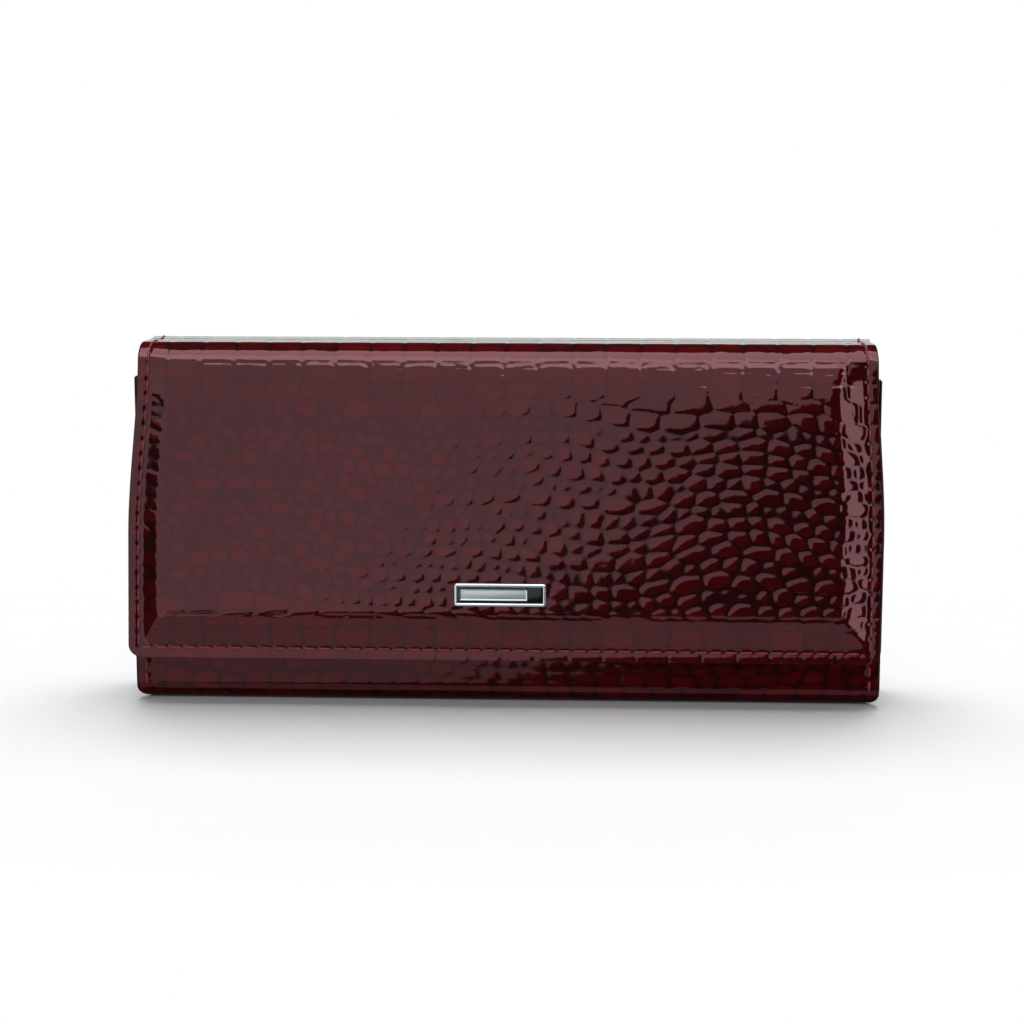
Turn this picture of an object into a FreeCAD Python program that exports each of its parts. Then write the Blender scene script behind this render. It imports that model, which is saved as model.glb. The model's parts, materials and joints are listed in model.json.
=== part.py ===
import FreeCAD, Part
import math
import os

# A long flap wallet, standing upright on its bottom fold.
# X runs along the wallet, Y from its front (-Y) to its back, Z is up.
# The origin is the middle of the footprint, on the surface that the wallet stands on.
# The back, the top band and the flap are one leather skin that folds at two lines;
# behind the flap a front panel, a zipped coin pocket and the back make three
# compartments, joined at the ends by accordion gussets.

os.makedirs("parts", exist_ok=True)
Vector = FreeCAD.Vector
ALONG_X = Vector(1, 0, 0)
ALONG_Y = Vector(0, 1, 0)
ALONG_Z = Vector(0, 0, 1)

# ---- Driving dimensions, millimetres ------------------------------------------

height = 92.0
depth = 28.0
case_half_width = 94.0
flap_half_width_top = 92.0
flap_half_width_bottom = 95.0
flap_bottom_z = 11.8
corner_radius = 3.3
least_corner_radius = 0.5

leather = 1.2
lining = 0.4
thin_board = 0.6
back_board_thickness = 1.0
foam = 2.4
slot_layers = 1.2
pocket_wall = 0.5
closing_gap = 0.4
body_gap = 0.3
through = 1.0

fold_radius = 5.0
stitch_proud = 0.3
stitch_pitch = 3.8
stitch_length = 2.9
stitch_width = 0.6
stitch_inset = 2.6

plaque_size = (23.0, 5.8)
plaque_x = -1.0
plaque_above_flap_edge = 17.5
plaque_proud = 1.0
plaque_rim = 0.8
plaque_bar_size = (16.9, 2.8)
plaque_bar_gap = 0.6
plaque_bar_thickness = 0.2
plaque_corner_radius = 0.5
plaque_floor = 0.3
enamel_depth = 0.4
prong_offset = 7.5
prong_radius = 0.7
prong_length = 1.0
prong_clearance = 0.05

cushion_inset_base = 4.2
cushion_inset_face = 9.5
flap_sheet_inset = 0.6

slot_count = 4
slot_thickness = 0.45
slot_step = 9.0
slot_first_z = 38.0
slot_overlap = 3.0
slots_top_z = 80.0
slots_half_width = 86.0

gusset = 0.6
gusset_outer_x = 92.0
gusset_ridge_x = 90.2
gusset_fold_x = 84.0
gusset_bottom = 2.3
gusset_seam = 0.01
coin_side_gap = 0.05
back_sheet_inset = 1.0
front_sheet_inset = 0.6
front_sheet_top_gap = 0.4
stitch_end_gap = 1.0
front_stitch_top_gap = 2.0
end_tab_inset = 0.5
end_tab_gap = 0.4

bill_gap_front = 4.9
coin_gap = 4.4

# ---- Layers, from the front to the back ---------------------------------------

front_most = -depth / 2
crown_face = front_most + plaque_proud
crown_inner = crown_face + leather
flap_inner = crown_inner + foam
margin_face = flap_inner - leather
flap_board_back = flap_inner + thin_board
flap_lining_back = flap_board_back + lining
slots_back = flap_lining_back + slot_layers

front_face = slots_back + closing_gap
front_board_face = front_face + leather
front_lining_face = front_board_face + thin_board
front_inner = front_lining_face + lining

coin_front = front_inner + bill_gap_front
coin_front_inner = coin_front + pocket_wall
coin_back_inner = coin_front_inner + coin_gap
coin_back = coin_back_inner + pocket_wall
coin_middle = (coin_front_inner + coin_back_inner) / 2

back_face = depth / 2 - stitch_proud
back_board_face = back_face - leather
back_lining_face = back_board_face - back_board_thickness
back_inner = back_lining_face - lining

band_front = margin_face + fold_radius
band_back = back_face - fold_radius

# ---- Levels, from the bottom up -----------------------------------------------

top_face = height - stitch_proud
fold_z = top_face - fold_radius
inner_floor = leather + lining
panel_bottom = fold_radius + body_gap
front_top = 83.0
back_panel_top = 84.0
gusset_top = 80.0
coin_top = 62.0
lining_inset = 2.0
plaque_z = flap_bottom_z + plaque_above_flap_edge
coin_floor_z = inner_floor + pocket_wall
coin_half_width = gusset_ridge_x - coin_side_gap
back_sheet_half_width = case_half_width - back_sheet_inset
front_sheet_half_width = case_half_width - front_sheet_inset

# The fold lines: a leather fold of mid-thickness radius r unrolls from a right
# angle to flat about a line that stands pi * r / 4 out from the arc's centre.
fold_line_offset = math.pi * (fold_radius - leather / 2) / 4
spine_fold = Vector(0, back_face - fold_radius + fold_line_offset, fold_z + fold_line_offset)
flap_fold = Vector(0, margin_face + fold_radius - fold_line_offset, fold_z + fold_line_offset)
pocket_fold = Vector(0, front_face + leather / 2, fold_radius)

# ---- Zipper --------------------------------------------------------------------

zipper_half_length = 81.0
teeth_half_length = 79.5
tape = 0.4
tape_height = 7.4
tooth_pitch = 3.0
tooth_width = 1.2
tooth_reach = 0.7
teeth_gap = 0.3
teeth_thickness = 1.2
slider_x = 74.5
slider_size = (8.0, 5.0, 1.3)
slider_clearance = 0.9
slider_corner_radius = 1.2
bail_half_length = 2.6
bail_leg = 0.7
bail_width = 1.4
bail_height = 2.4
pull_length = 12.5
pull_bar_radius = 0.45
pull_arm = 0.7
pull_half_width = 1.8
pull_tab_start = 4.0
pull_clearance = 0.4
teeth_z = coin_top + body_gap + tape_height
end_tab_start = zipper_half_length + end_tab_gap
first_tooth = -teeth_half_length + teeth_gap
tape_foot = tape / 2
row_inner = tooth_reach / 2 + teeth_gap / 2
row_cord = 0.5
slider_z = teeth_z + teeth_thickness + slider_clearance
bail_z = slider_z + slider_size[2]
pull_axis = Vector(slider_x, coin_middle, bail_z + pull_arm / 2 + pull_clearance)

# ---- Snap ----------------------------------------------------------------------

snap_z = plaque_z
snap_post_radius = 1.2
stud_radius = 2.3
socket_inner_radius = 3.0
socket_outer_radius = 5.2
socket_thickness = 1.0
stud_flange_radius = 4.2
stud_flange = 0.3
stud_reach = 0.9
rivet_radius = 3.6
rivet = 0.4
socket_floor = 0.3
post_clearance = 0.02


# ---- Small helpers -------------------------------------------------------------

def slab(half_width, y0, y1, z0, z1):
    """A box centred on X, from y0 to y1 and z0 to z1."""
    corner = Vector(-half_width, y0, z0)
    return Part.makeBox(2 * half_width, y1 - y0, z1 - z0, corner)


def block(x0, x1, y0, y1, z0, z1):
    """A box between three pairs of planes."""
    return Part.makeBox(x1 - x0, y1 - y0, z1 - z0, Vector(x0, y0, z0))


def disc(radius, y0, y1, x, z):
    """A round disc whose axis is Y."""
    return Part.makeCylinder(radius, y1 - y0, Vector(x, y0, z), ALONG_Y)


def edges_along(shape, direction):
    """The edges of a box that run along a direction."""
    return [e for e in shape.Edges if e.tangentAt(e.FirstParameter).cross(direction).Length < 0.1]


def polygon_face(points):
    """A flat face with straight edges through the points."""
    return Part.Face(Part.makePolygon(points + [points[0]]))


def rounded_outline(half_top, half_bottom, z0, z1, radius, y):
    """A symmetric outline in the XZ plane with its two lower corners rounded."""
    slant = math.atan2(half_bottom - half_top, z1 - z0)
    inner_angle = math.pi / 2 - slant
    tangent = radius / math.tan(inner_angle / 2)
    side = Vector(-math.sin(slant), 0, math.cos(slant))
    corner = Vector(half_bottom, y, z0)
    low = corner - ALONG_X * tangent
    high = corner + side * tangent
    centre = low + ALONG_Z * radius
    middle = centre + (corner - centre).normalize() * radius
    top = Vector(half_top, y, z1)
    mirror = [Vector(-p.x, p.y, p.z) for p in (low, middle, high, top)]
    edges = [
        Part.LineSegment(mirror[0], low).toShape(),
        Part.Arc(low, middle, high).toShape(),
        Part.LineSegment(high, top).toShape(),
        Part.LineSegment(top, mirror[3]).toShape(),
        Part.LineSegment(mirror[3], mirror[2]).toShape(),
        Part.Arc(mirror[2], mirror[1], mirror[0]).toShape(),
    ]
    return Part.Wire(Part.__sortEdges__(edges))


def flap_plate(inset, y0, y1, top_z):
    """A plate with the flap's outline, moved in by inset from its sides and bottom."""
    radius = max(corner_radius - inset, least_corner_radius)
    wire = rounded_outline(
        flap_half_width_top - inset,
        flap_half_width_bottom - inset,
        flap_bottom_z + inset,
        top_z,
        radius,
        y0,
    )
    return Part.Face(wire).extrude(ALONG_Y * (y1 - y0))


def cushion(inset_base, inset_face, y_base, y_face, top_z):
    """A padded shape with sloping sides between two insets of the flap's outline."""
    wires = []
    for inset, y in ((inset_base, y_base), (inset_face, y_face)):
        radius = max(corner_radius - inset, least_corner_radius)
        wires.append(
            rounded_outline(
                flap_half_width_top - inset,
                flap_half_width_bottom - inset,
                flap_bottom_z + inset,
                top_z,
                radius,
                y,
            )
        )
    return Part.makeLoft(wires, True, True)


def stitch_run(start, end, outward):
    """A straight run of separate stitches that stand on a surface."""
    along = end - start
    count = int(along.Length / stitch_pitch)
    step = along / count
    direction = Vector(along).normalize()
    across = outward.cross(direction)
    stitches = []
    for number in range(count):
        middle = start + step * (number + 0.5)
        low = middle - direction * stitch_length / 2 - across * stitch_width / 2
        corners = [
            low,
            low + direction * stitch_length,
            low + direction * stitch_length + across * stitch_width,
            low + across * stitch_width,
        ]
        stitches.append(polygon_face(corners).extrude(outward * stitch_proud))
    return stitches


def comb(base_y0, base_y1, tip_y, z0, first_x):
    """One row of zipper teeth on its cord, as one solid seen from above."""
    count = int(2 * teeth_half_length / tooth_pitch)
    points = [Vector(teeth_half_length, base_y0, z0), Vector(-teeth_half_length, base_y0, z0)]
    points.append(Vector(-teeth_half_length, base_y1, z0))
    for number in range(count):
        x = first_x + number * tooth_pitch
        points.append(Vector(x, base_y1, z0))
        points.append(Vector(x, tip_y, z0))
        points.append(Vector(x + tooth_width, tip_y, z0))
        points.append(Vector(x + tooth_width, base_y1, z0))
    points.append(Vector(teeth_half_length, base_y1, z0))
    return polygon_face(points).extrude(ALONG_Z * teeth_thickness)


def save(name, shape):
    """Write one sub-part."""
    shape.exportStep("parts/" + name + ".step")


# ---- The case: back, bottom fold and compartments -------------------------------

def fold_section(face_front, face_back, floor, radius):
    """The U-shaped outline of the skin's bottom fold and back, as edges."""
    bend = math.sqrt(0.5) * radius
    front_centre = Vector(0, face_front + radius, floor + radius)
    back_centre = Vector(0, face_back - radius, floor + radius)
    front_end = Vector(0, face_front, floor + radius)
    front_low = Vector(0, face_front + radius, floor)
    back_low = Vector(0, face_back - radius, floor)
    back_side = Vector(0, face_back, floor + radius)
    back_top = Vector(0, face_back, fold_z)
    edges = [
        Part.Arc(front_end, front_centre + Vector(0, -bend, -bend), front_low).toShape(),
        Part.LineSegment(front_low, back_low).toShape(),
        Part.Arc(back_low, back_centre + Vector(0, bend, -bend), back_side).toShape(),
        Part.LineSegment(back_side, back_top).toShape(),
    ]
    return edges, front_end, back_top


def make_back_leather():
    """The skin from the front of the bottom fold, under and up to the top fold."""
    outer, outer_start, outer_end = fold_section(front_face, back_face, 0.0, fold_radius)
    inner, inner_start, inner_end = fold_section(
        front_board_face, back_board_face, leather, fold_radius - leather
    )
    ends = [
        Part.LineSegment(outer_start, inner_start).toShape(),
        Part.LineSegment(outer_end, inner_end).toShape(),
    ]
    face = Part.Face(Part.Wire(Part.__sortEdges__(outer + inner + ends)))
    skin = face.extrude(ALONG_X * 2 * case_half_width)
    skin.translate(Vector(-case_half_width, 0, 0))
    wire = rounded_outline(case_half_width, case_half_width, 0.0, height, corner_radius, -depth)
    return skin.common(Part.Face(wire).extrude(ALONG_Y * 2 * depth))


def make_back_board():
    """The stiff board between the back's leather and its lining."""
    z0 = fold_radius
    return slab(back_sheet_half_width, back_lining_face, back_board_face, z0, back_panel_top)


def make_back_lining():
    """The lining of the back panel, facing the rear bill compartment."""
    return slab(back_sheet_half_width, back_inner, back_lining_face, fold_radius, back_panel_top)


def make_floor_lining():
    """The lining strip that covers the inside of the bottom fold."""
    y0 = front_face + fold_radius
    return slab(back_sheet_half_width, y0, back_face - fold_radius, leather, inner_floor)


def make_gusset(side):
    """One accordion end wall: it zigzags in X from the front panel to the back."""
    front_fold_y = (front_inner + coin_front) / 2
    back_fold_y = (coin_back + back_inner) / 2
    path = [
        (gusset_outer_x, front_inner + body_gap),
        (gusset_fold_x, front_fold_y),
        (gusset_ridge_x, coin_front),
        (gusset_ridge_x, coin_back),
        (gusset_fold_x, back_fold_y),
        (gusset_outer_x, back_inner - gusset_seam),
    ]
    inner = [Vector(side * x, y, gusset_bottom) for x, y in path]
    outer = [Vector(side * (x + gusset), y, gusset_bottom) for x, y in reversed(path)]
    return polygon_face(inner + outer).extrude(ALONG_Z * (gusset_top - gusset_bottom))


def make_coin_wall(y0):
    """One wall of the coin pocket, its top edge bound to the zipper tape."""
    return slab(coin_half_width, y0, y0 + pocket_wall, inner_floor, coin_top)


def make_coin_floor():
    """The folded bottom of the coin pocket."""
    return slab(coin_half_width, coin_front_inner, coin_back_inner, inner_floor, coin_floor_z)


def make_end_tab(side):
    """The leather tab that closes one end of the zipper, sewn to the gusset."""
    x0, x1 = sorted((side * end_tab_start, side * coin_half_width))
    y0 = coin_front_inner + end_tab_inset
    y1 = coin_back_inner - end_tab_inset
    return block(x0, x1, y0, y1, coin_top, teeth_z + teeth_thickness)


def make_seams(y, z0, z1, outward):
    """Two vertical runs of stitches near the side edges of a case panel."""
    stitches = []
    for side in (-1, 1):
        x = side * (case_half_width - stitch_inset)
        stitches += stitch_run(Vector(x, y, z0), Vector(x, y, z1), outward)
    return Part.makeCompound(stitches)


# ---- The front panel -----------------------------------------------------------

def make_front_sheet(half_width, y0, y1, top_z):
    """One layer of the front panel, with the hole for the snap's post."""
    sheet = slab(half_width, y0, y1, panel_bottom, top_z)
    return sheet.cut(disc(snap_post_radius, y0 - through, y1 + through, plaque_x, snap_z))


def make_snap_stud():
    """The snap's stud: a flange on the leather and a rounded head."""
    flange = disc(stud_flange_radius, front_face - stud_flange, front_face, plaque_x, snap_z)
    head = disc(stud_radius, front_face - stud_reach, front_face - stud_flange, plaque_x, snap_z)
    return flange.fuse(head).removeSplitter()


def make_snap_rivet():
    """The rivet that holds the stud from inside, with its post through the panel."""
    cap = disc(rivet_radius, front_inner, front_inner + rivet, plaque_x, snap_z)
    post_radius = snap_post_radius - post_clearance
    post = disc(post_radius, front_face, front_inner, plaque_x, snap_z)
    return cap.fuse(post).removeSplitter()


# ---- The top band --------------------------------------------------------------

def make_spine_sheet(half_width, z0, z1):
    """One flat layer of the top band between its two folds."""
    return slab(half_width, band_front, band_back, z0, z1)


def make_spine_stitching():
    """Stitches along both short edges of the top band."""
    stitches = []
    for side in (-1, 1):
        x = side * (flap_half_width_top - stitch_inset)
        start = Vector(x, band_front, top_face)
        end = Vector(x, band_back, top_face)
        stitches += stitch_run(start, end, ALONG_Z)
    return Part.makeCompound(stitches)


# ---- The flap ------------------------------------------------------------------

def make_flap_leather():
    """The flap's skin: a flat sewn margin around a raised, padded middle."""
    margin = flap_plate(0.0, margin_face, flap_inner, fold_z)
    outside = cushion(
        cushion_inset_base - leather / 2, cushion_inset_face, margin_face, crown_face, fold_z
    )
    room = cushion(
        cushion_inset_base, cushion_inset_face, flap_inner, crown_inner, fold_z - leather
    )
    prong_room = plaque_prong_room()
    return margin.fuse(outside).cut(room).cut(prong_room).removeSplitter()


def plaque_prong_room():
    """The two holes in the leather for the plaque's prongs."""
    holes = []
    for side in (-1, 1):
        x = plaque_x + side * prong_offset
        hole_end = crown_inner + prong_length
        holes.append(disc(prong_radius, crown_face - through, hole_end, x, plaque_z))
    return Part.makeCompound(holes)


def make_flap_foam():
    """The foam that pads the flap, cut away behind the plaque's prongs."""
    pad = cushion(
        cushion_inset_base, cushion_inset_face, flap_inner, crown_inner, fold_z - leather
    )
    hollow = disc(socket_outer_radius, flap_inner - rivet, flap_inner, plaque_x, snap_z)
    return pad.cut(plaque_prong_room()).cut(hollow)


def make_flap_sheet(inset, y0, y1):
    """A backing layer of the flap, with the hole for the snap's eyelet."""
    sheet = flap_plate(inset, y0, y1, fold_z)
    return sheet.cut(disc(snap_post_radius, y0 - through, y1 + through, plaque_x, snap_z))


def make_snap_socket():
    """The snap's socket: a ring on the flap's lining that closes over the stud."""
    y0 = flap_lining_back
    y1 = y0 + socket_thickness
    ring = disc(socket_outer_radius, y0, y1, plaque_x, snap_z)
    return ring.cut(disc(socket_inner_radius, y0 + socket_floor, y1 + through, plaque_x, snap_z))


def make_snap_eyelet():
    """The eyelet that holds the socket from inside the flap's padding."""
    cap = disc(rivet_radius, flap_inner - rivet, flap_inner, plaque_x, snap_z)
    post = disc(snap_post_radius - post_clearance, flap_inner, flap_lining_back, plaque_x, snap_z)
    return cap.fuse(post).removeSplitter()


def make_card_slot(number):
    """One card pocket strip, its mouth towards the flap's free edge.

    The mouth stands proud and the other edge is tucked under the next strip.
    """
    mouth_z = slot_first_z + number * slot_step
    tucked_z = mouth_z + slot_step + slot_overlap
    if number == slot_count - 1:
        tucked_z = slots_top_z
    points = [
        Vector(-slots_half_width, slots_back, mouth_z),
        Vector(-slots_half_width, slots_back - slot_thickness, mouth_z),
        Vector(-slots_half_width, flap_lining_back, tucked_z),
        Vector(-slots_half_width, flap_lining_back + slot_thickness, tucked_z),
    ]
    return polygon_face(points).extrude(ALONG_X * 2 * slots_half_width)


def make_flap_stitching():
    """Stitches along the flap's two sides and its free edge."""
    out = Vector(0, -1, 0)
    low_z = flap_bottom_z + stitch_inset
    low_x = flap_half_width_bottom - stitch_inset
    top_x = flap_half_width_top - stitch_inset
    left_low = Vector(-low_x, margin_face, low_z)
    right_low = Vector(low_x, margin_face, low_z)
    left_top = Vector(-top_x, margin_face, fold_z)
    right_top = Vector(top_x, margin_face, fold_z)
    stitches = stitch_run(left_low, left_top, out)
    stitches += stitch_run(right_low, right_top, out)
    stitches += stitch_run(left_low, right_low, out)
    return Part.makeCompound(stitches)


# ---- The plaque ----------------------------------------------------------------

def plaque_slab(inset, y0, y1):
    """A rectangular layer of the plaque, inset from its outline."""
    half_x = plaque_size[0] / 2 - inset
    half_z = plaque_size[1] / 2 - inset
    return block(
        plaque_x - half_x, plaque_x + half_x, y0, y1, plaque_z - half_z, plaque_z + half_z
    )


def make_plaque_frame():
    """The polished tray with a raised rim, and two prongs through the leather."""
    tray = plaque_slab(0.0, front_most, crown_face)
    tray = tray.makeFillet(plaque_corner_radius, edges_along(tray, ALONG_Y))
    tray = tray.cut(plaque_slab(plaque_rim, front_most - through, crown_face - plaque_floor))
    for side in (-1, 1):
        x = plaque_x + side * prong_offset
        tip = crown_inner + prong_length / 2
        tray = tray.fuse(disc(prong_radius - prong_clearance, crown_face, tip, x, plaque_z))
    return tray.removeSplitter()


def make_plaque_enamel():
    """The dark enamel that fills the floor of the tray."""
    y1 = crown_face - plaque_floor
    return plaque_slab(plaque_rim, y1 - enamel_depth, y1)


def make_plaque_bar():
    """The satin bar on the enamel, set against the left end of the rim."""
    x0 = plaque_x - plaque_size[0] / 2 + plaque_rim + plaque_bar_gap
    half_z = plaque_bar_size[1] / 2
    y1 = crown_face - plaque_floor - enamel_depth
    y0 = y1 - plaque_bar_thickness
    return block(x0, x0 + plaque_bar_size[0], y0, y1, plaque_z - half_z, plaque_z + half_z)


# ---- The zipper ----------------------------------------------------------------

def make_tape(side):
    """One zipper tape, leaning from its pocket wall to the row of teeth."""
    foot_y = coin_middle + side * (coin_gap + pocket_wall) / 2
    head_y = coin_middle + side * (row_inner + row_cord / 2)
    z0 = coin_top + body_gap
    points = [
        Vector(-zipper_half_length, foot_y - tape_foot, z0),
        Vector(-zipper_half_length, foot_y + tape_foot, z0),
        Vector(-zipper_half_length, head_y + tape_foot, teeth_z),
        Vector(-zipper_half_length, head_y - tape_foot, teeth_z),
    ]
    return polygon_face(points).extrude(ALONG_X * 2 * zipper_half_length)


def make_teeth(side, first_x):
    """One row of teeth on the free edge of its tape."""
    inner_y = coin_middle + side * row_inner
    outer_y = inner_y + side * row_cord
    tip_y = inner_y - side * tooth_reach
    return comb(outer_y, inner_y, tip_y, teeth_z, first_x)


def make_slider():
    """The slider's plate, with the bail that the pull hangs from."""
    length, width, thickness = slider_size
    plate = block(
        slider_x - length / 2,
        slider_x + length / 2,
        coin_middle - width / 2,
        coin_middle + width / 2,
        slider_z,
        bail_z,
    )
    plate = plate.makeFillet(slider_corner_radius, edges_along(plate, ALONG_Z))
    y0 = coin_middle - bail_width / 2
    y1 = coin_middle + bail_width / 2
    top = bail_z + bail_height
    bail = block(slider_x - bail_half_length, slider_x + bail_half_length, y0, y1, bail_z, top)
    inside = bail_half_length - bail_leg
    window = block(
        slider_x - inside, slider_x + inside, y0 - through, y1 + through, bail_z, top - bail_leg
    )
    return plate.fuse(bail.cut(window)).removeSplitter()


def make_pull():
    """The pull: a cross bar under the bail, two arms and a flat tab."""
    x, y, z = pull_axis
    low = z - pull_arm / 2
    high = z + pull_arm / 2
    bar_start = Vector(x, y - pull_half_width, z)
    pull = Part.makeCylinder(pull_bar_radius, 2 * pull_half_width, bar_start, ALONG_Y)
    for side in (-1, 1):
        y0, y1 = sorted((y + side * pull_half_width, y + side * (pull_half_width - pull_arm)))
        pull = pull.fuse(block(x, x + pull_tab_start, y0, y1, low, high))
    tab_start = x + pull_tab_start - pull_arm
    tab = block(
        tab_start, x + pull_length, y - pull_half_width, y + pull_half_width, low, high
    )
    return pull.fuse(tab).removeSplitter()


# ---- Write every sub-part ------------------------------------------------------

save("back_leather", make_back_leather())
save("back_board", make_back_board())
save("back_lining", make_back_lining())
save("floor_lining", make_floor_lining())
save("gusset_left", make_gusset(-1))
save("gusset_right", make_gusset(1))
save("coin_pocket_front", make_coin_wall(coin_front))
save("coin_pocket_back", make_coin_wall(coin_back_inner))
save("coin_pocket_floor", make_coin_floor())
save("zipper_end_tab_left", make_end_tab(-1))
save("zipper_end_tab_right", make_end_tab(1))
low_end = fold_radius + stitch_end_gap
save("back_stitching", make_seams(back_face, low_end, fold_z - stitch_end_gap, ALONG_Y))

save("front_leather", make_front_sheet(case_half_width, front_face, front_board_face, front_top))
sheet_top = front_top - front_sheet_top_gap
save(
    "front_board",
    make_front_sheet(front_sheet_half_width, front_board_face, front_lining_face, sheet_top),
)
save(
    "front_lining",
    make_front_sheet(front_sheet_half_width, front_lining_face, front_inner, sheet_top),
)
save(
    "front_stitching",
    make_seams(
        front_face,
        panel_bottom + stitch_end_gap,
        front_top - front_stitch_top_gap,
        Vector(0, -1, 0),
    ),
)
save("snap_stud", make_snap_stud())
save("snap_rivet", make_snap_rivet())

save("spine_leather", make_spine_sheet(flap_half_width_top, top_face - leather, top_face))
spine_lining_z = top_face - leather - lining
save(
    "spine_lining",
    make_spine_sheet(flap_half_width_top - lining_inset, spine_lining_z, top_face - leather),
)
save("spine_stitching", make_spine_stitching())

save("flap_leather", make_flap_leather())
save("flap_foam", make_flap_foam())
save("flap_board", make_flap_sheet(flap_sheet_inset, flap_inner, flap_board_back))
save("flap_lining", make_flap_sheet(flap_sheet_inset, flap_board_back, flap_lining_back))
for number in range(slot_count):
    save("card_slot_%d" % (number + 1), make_card_slot(number))
save("flap_stitching", make_flap_stitching())
save("snap_socket", make_snap_socket())
save("snap_eyelet", make_snap_eyelet())

save("plaque_frame", make_plaque_frame())
save("plaque_enamel", make_plaque_enamel())
save("plaque_bar", make_plaque_bar())

save("zipper_tape_front", make_tape(-1))
save("zipper_tape_back", make_tape(1))
save("zipper_teeth_front", make_teeth(-1, first_tooth))
save("zipper_teeth_back", make_teeth(1, first_tooth + tooth_pitch / 2))
save("zipper_slider", make_slider())
save("zipper_pull", make_pull())
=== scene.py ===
# %% [markdown]
# # A long flap wallet in embossed patent leather
#
# The wallet is posed upright on its bottom fold. Its skin is one leather that runs from the
# flap's free edge over the top band, down the back, under the bottom and up the front panel.
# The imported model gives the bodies, the hinge lines and every piece's place. This script
# makes what the eye sees: the embossed skin, the thread, the plaque and the inside.
#
# Lengths are worked out in millimetres and turned into metres when a mesh is made.

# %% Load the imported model
import bmesh
import bpy
import json
import math
import numpy as np
from mathutils import Matrix, Vector

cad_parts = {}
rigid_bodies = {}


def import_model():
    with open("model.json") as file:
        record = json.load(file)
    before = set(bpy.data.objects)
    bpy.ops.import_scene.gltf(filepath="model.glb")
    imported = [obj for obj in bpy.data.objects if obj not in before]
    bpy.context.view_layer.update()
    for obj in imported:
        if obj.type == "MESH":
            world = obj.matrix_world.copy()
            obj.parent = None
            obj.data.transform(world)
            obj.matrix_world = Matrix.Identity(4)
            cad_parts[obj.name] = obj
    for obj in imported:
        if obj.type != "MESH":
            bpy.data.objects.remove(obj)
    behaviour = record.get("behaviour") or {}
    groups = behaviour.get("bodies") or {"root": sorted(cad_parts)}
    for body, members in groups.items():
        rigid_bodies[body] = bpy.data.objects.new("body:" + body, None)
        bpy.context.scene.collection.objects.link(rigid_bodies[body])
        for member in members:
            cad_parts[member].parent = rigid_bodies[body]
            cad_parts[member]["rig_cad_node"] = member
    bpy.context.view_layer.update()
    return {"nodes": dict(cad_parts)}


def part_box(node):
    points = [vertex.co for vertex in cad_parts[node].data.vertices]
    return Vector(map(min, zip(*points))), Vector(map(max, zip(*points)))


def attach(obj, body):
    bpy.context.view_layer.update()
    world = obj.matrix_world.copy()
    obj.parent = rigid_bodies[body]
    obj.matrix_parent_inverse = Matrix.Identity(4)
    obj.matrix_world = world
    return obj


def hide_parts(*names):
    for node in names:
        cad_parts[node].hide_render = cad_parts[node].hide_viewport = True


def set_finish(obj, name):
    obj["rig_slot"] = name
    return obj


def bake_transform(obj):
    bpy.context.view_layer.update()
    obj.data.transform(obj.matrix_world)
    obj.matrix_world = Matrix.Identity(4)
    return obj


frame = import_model()
MM = 0.001


def box_mm(node):
    """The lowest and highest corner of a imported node, as two arrays in millimetres."""
    low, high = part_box(node)
    return np.array(low) / MM, np.array(high) / MM


# %% [markdown]
# ## Where the layers are
#
# A wallet is a stack of thin sheets, so most of its pieces are known by the plane they lie
# in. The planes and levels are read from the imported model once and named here, because a
# piece that is placed by name follows the design when the design changes.

# %% Planes and levels of the wallet
flap_low, flap_high = box_mm("flap_leather")
_, back_high = box_mm("back_leather")
front_low, front_high = box_mm("front_leather")
spine_low, spine_high = box_mm("spine_leather")

LEATHER = float(front_high[1] - front_low[1])
FOLD_Z = float(back_high[2])
TOP_FACE = float(spine_high[2])
FOLD_R = TOP_FACE - FOLD_Z
BACK_FACE = float(back_high[1])
FRONT_FACE = float(front_low[1])
MARGIN_FACE = float(spine_low[1]) - FOLD_R
CROWN = MARGIN_FACE - float(flap_low[1])
FLAP_EDGE_Z = float(flap_low[2])
FRONT_TOP = float(front_high[2])
CASE_HALF = float(back_high[0])
FLAP_HALF_TOP = float(spine_high[0]) - 0.4
FLAP_HALF_LOW = float(flap_high[0]) + 0.1
CORNER_R = 3.3
OFF_CENTRE = 0.75
BAND_SHIFT = 0.25
BAND_NARROWER = 1.1
CASE_WIDER, CASE_TAPER = 0.5, 1.6
BAND_MID = (spine_low[1] + spine_high[1]) / 2
BOTTOM_MID = (FRONT_FACE + BACK_FACE) / 2
print("leather", LEATHER, "fold radius", FOLD_R, "margin face", MARGIN_FACE, "crown", CROWN)


# %% [markdown]
# ## Two mesh helpers
#
# Almost everything on a wallet is a sheet with a thickness, or a section carried along a
# line. `closed_sheet` takes a grid of points for the outer face and one for the inner face
# and joins them round the rim, with one row between that stands out a little, so a cut edge
# reads as a soft painted edge and not as a knife edge. The inner face of a thick skin is
# never seen, so it may have far fewer points than the outer face: the rim is then zipped
# from the fine ring to the coarse one.

# %% Mesh helpers
def new_mesh(name, points, faces, smooth=True):
    """An object at the origin from points in millimetres and an array of faces."""
    mesh = bpy.data.meshes.new(name)
    mesh.from_pydata((np.asarray(points, float) * MM).tolist(), [], [list(f) for f in faces])
    mesh.validate()
    shell = bmesh.new()
    shell.from_mesh(mesh)
    bmesh.ops.recalc_face_normals(shell, faces=shell.faces)
    shell.to_mesh(mesh)
    shell.free()
    piece = bpy.data.objects.new(name, mesh)
    bpy.context.scene.collection.objects.link(piece)
    mesh.polygons.foreach_set("use_smooth", np.full(len(mesh.polygons), smooth))
    return piece


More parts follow.
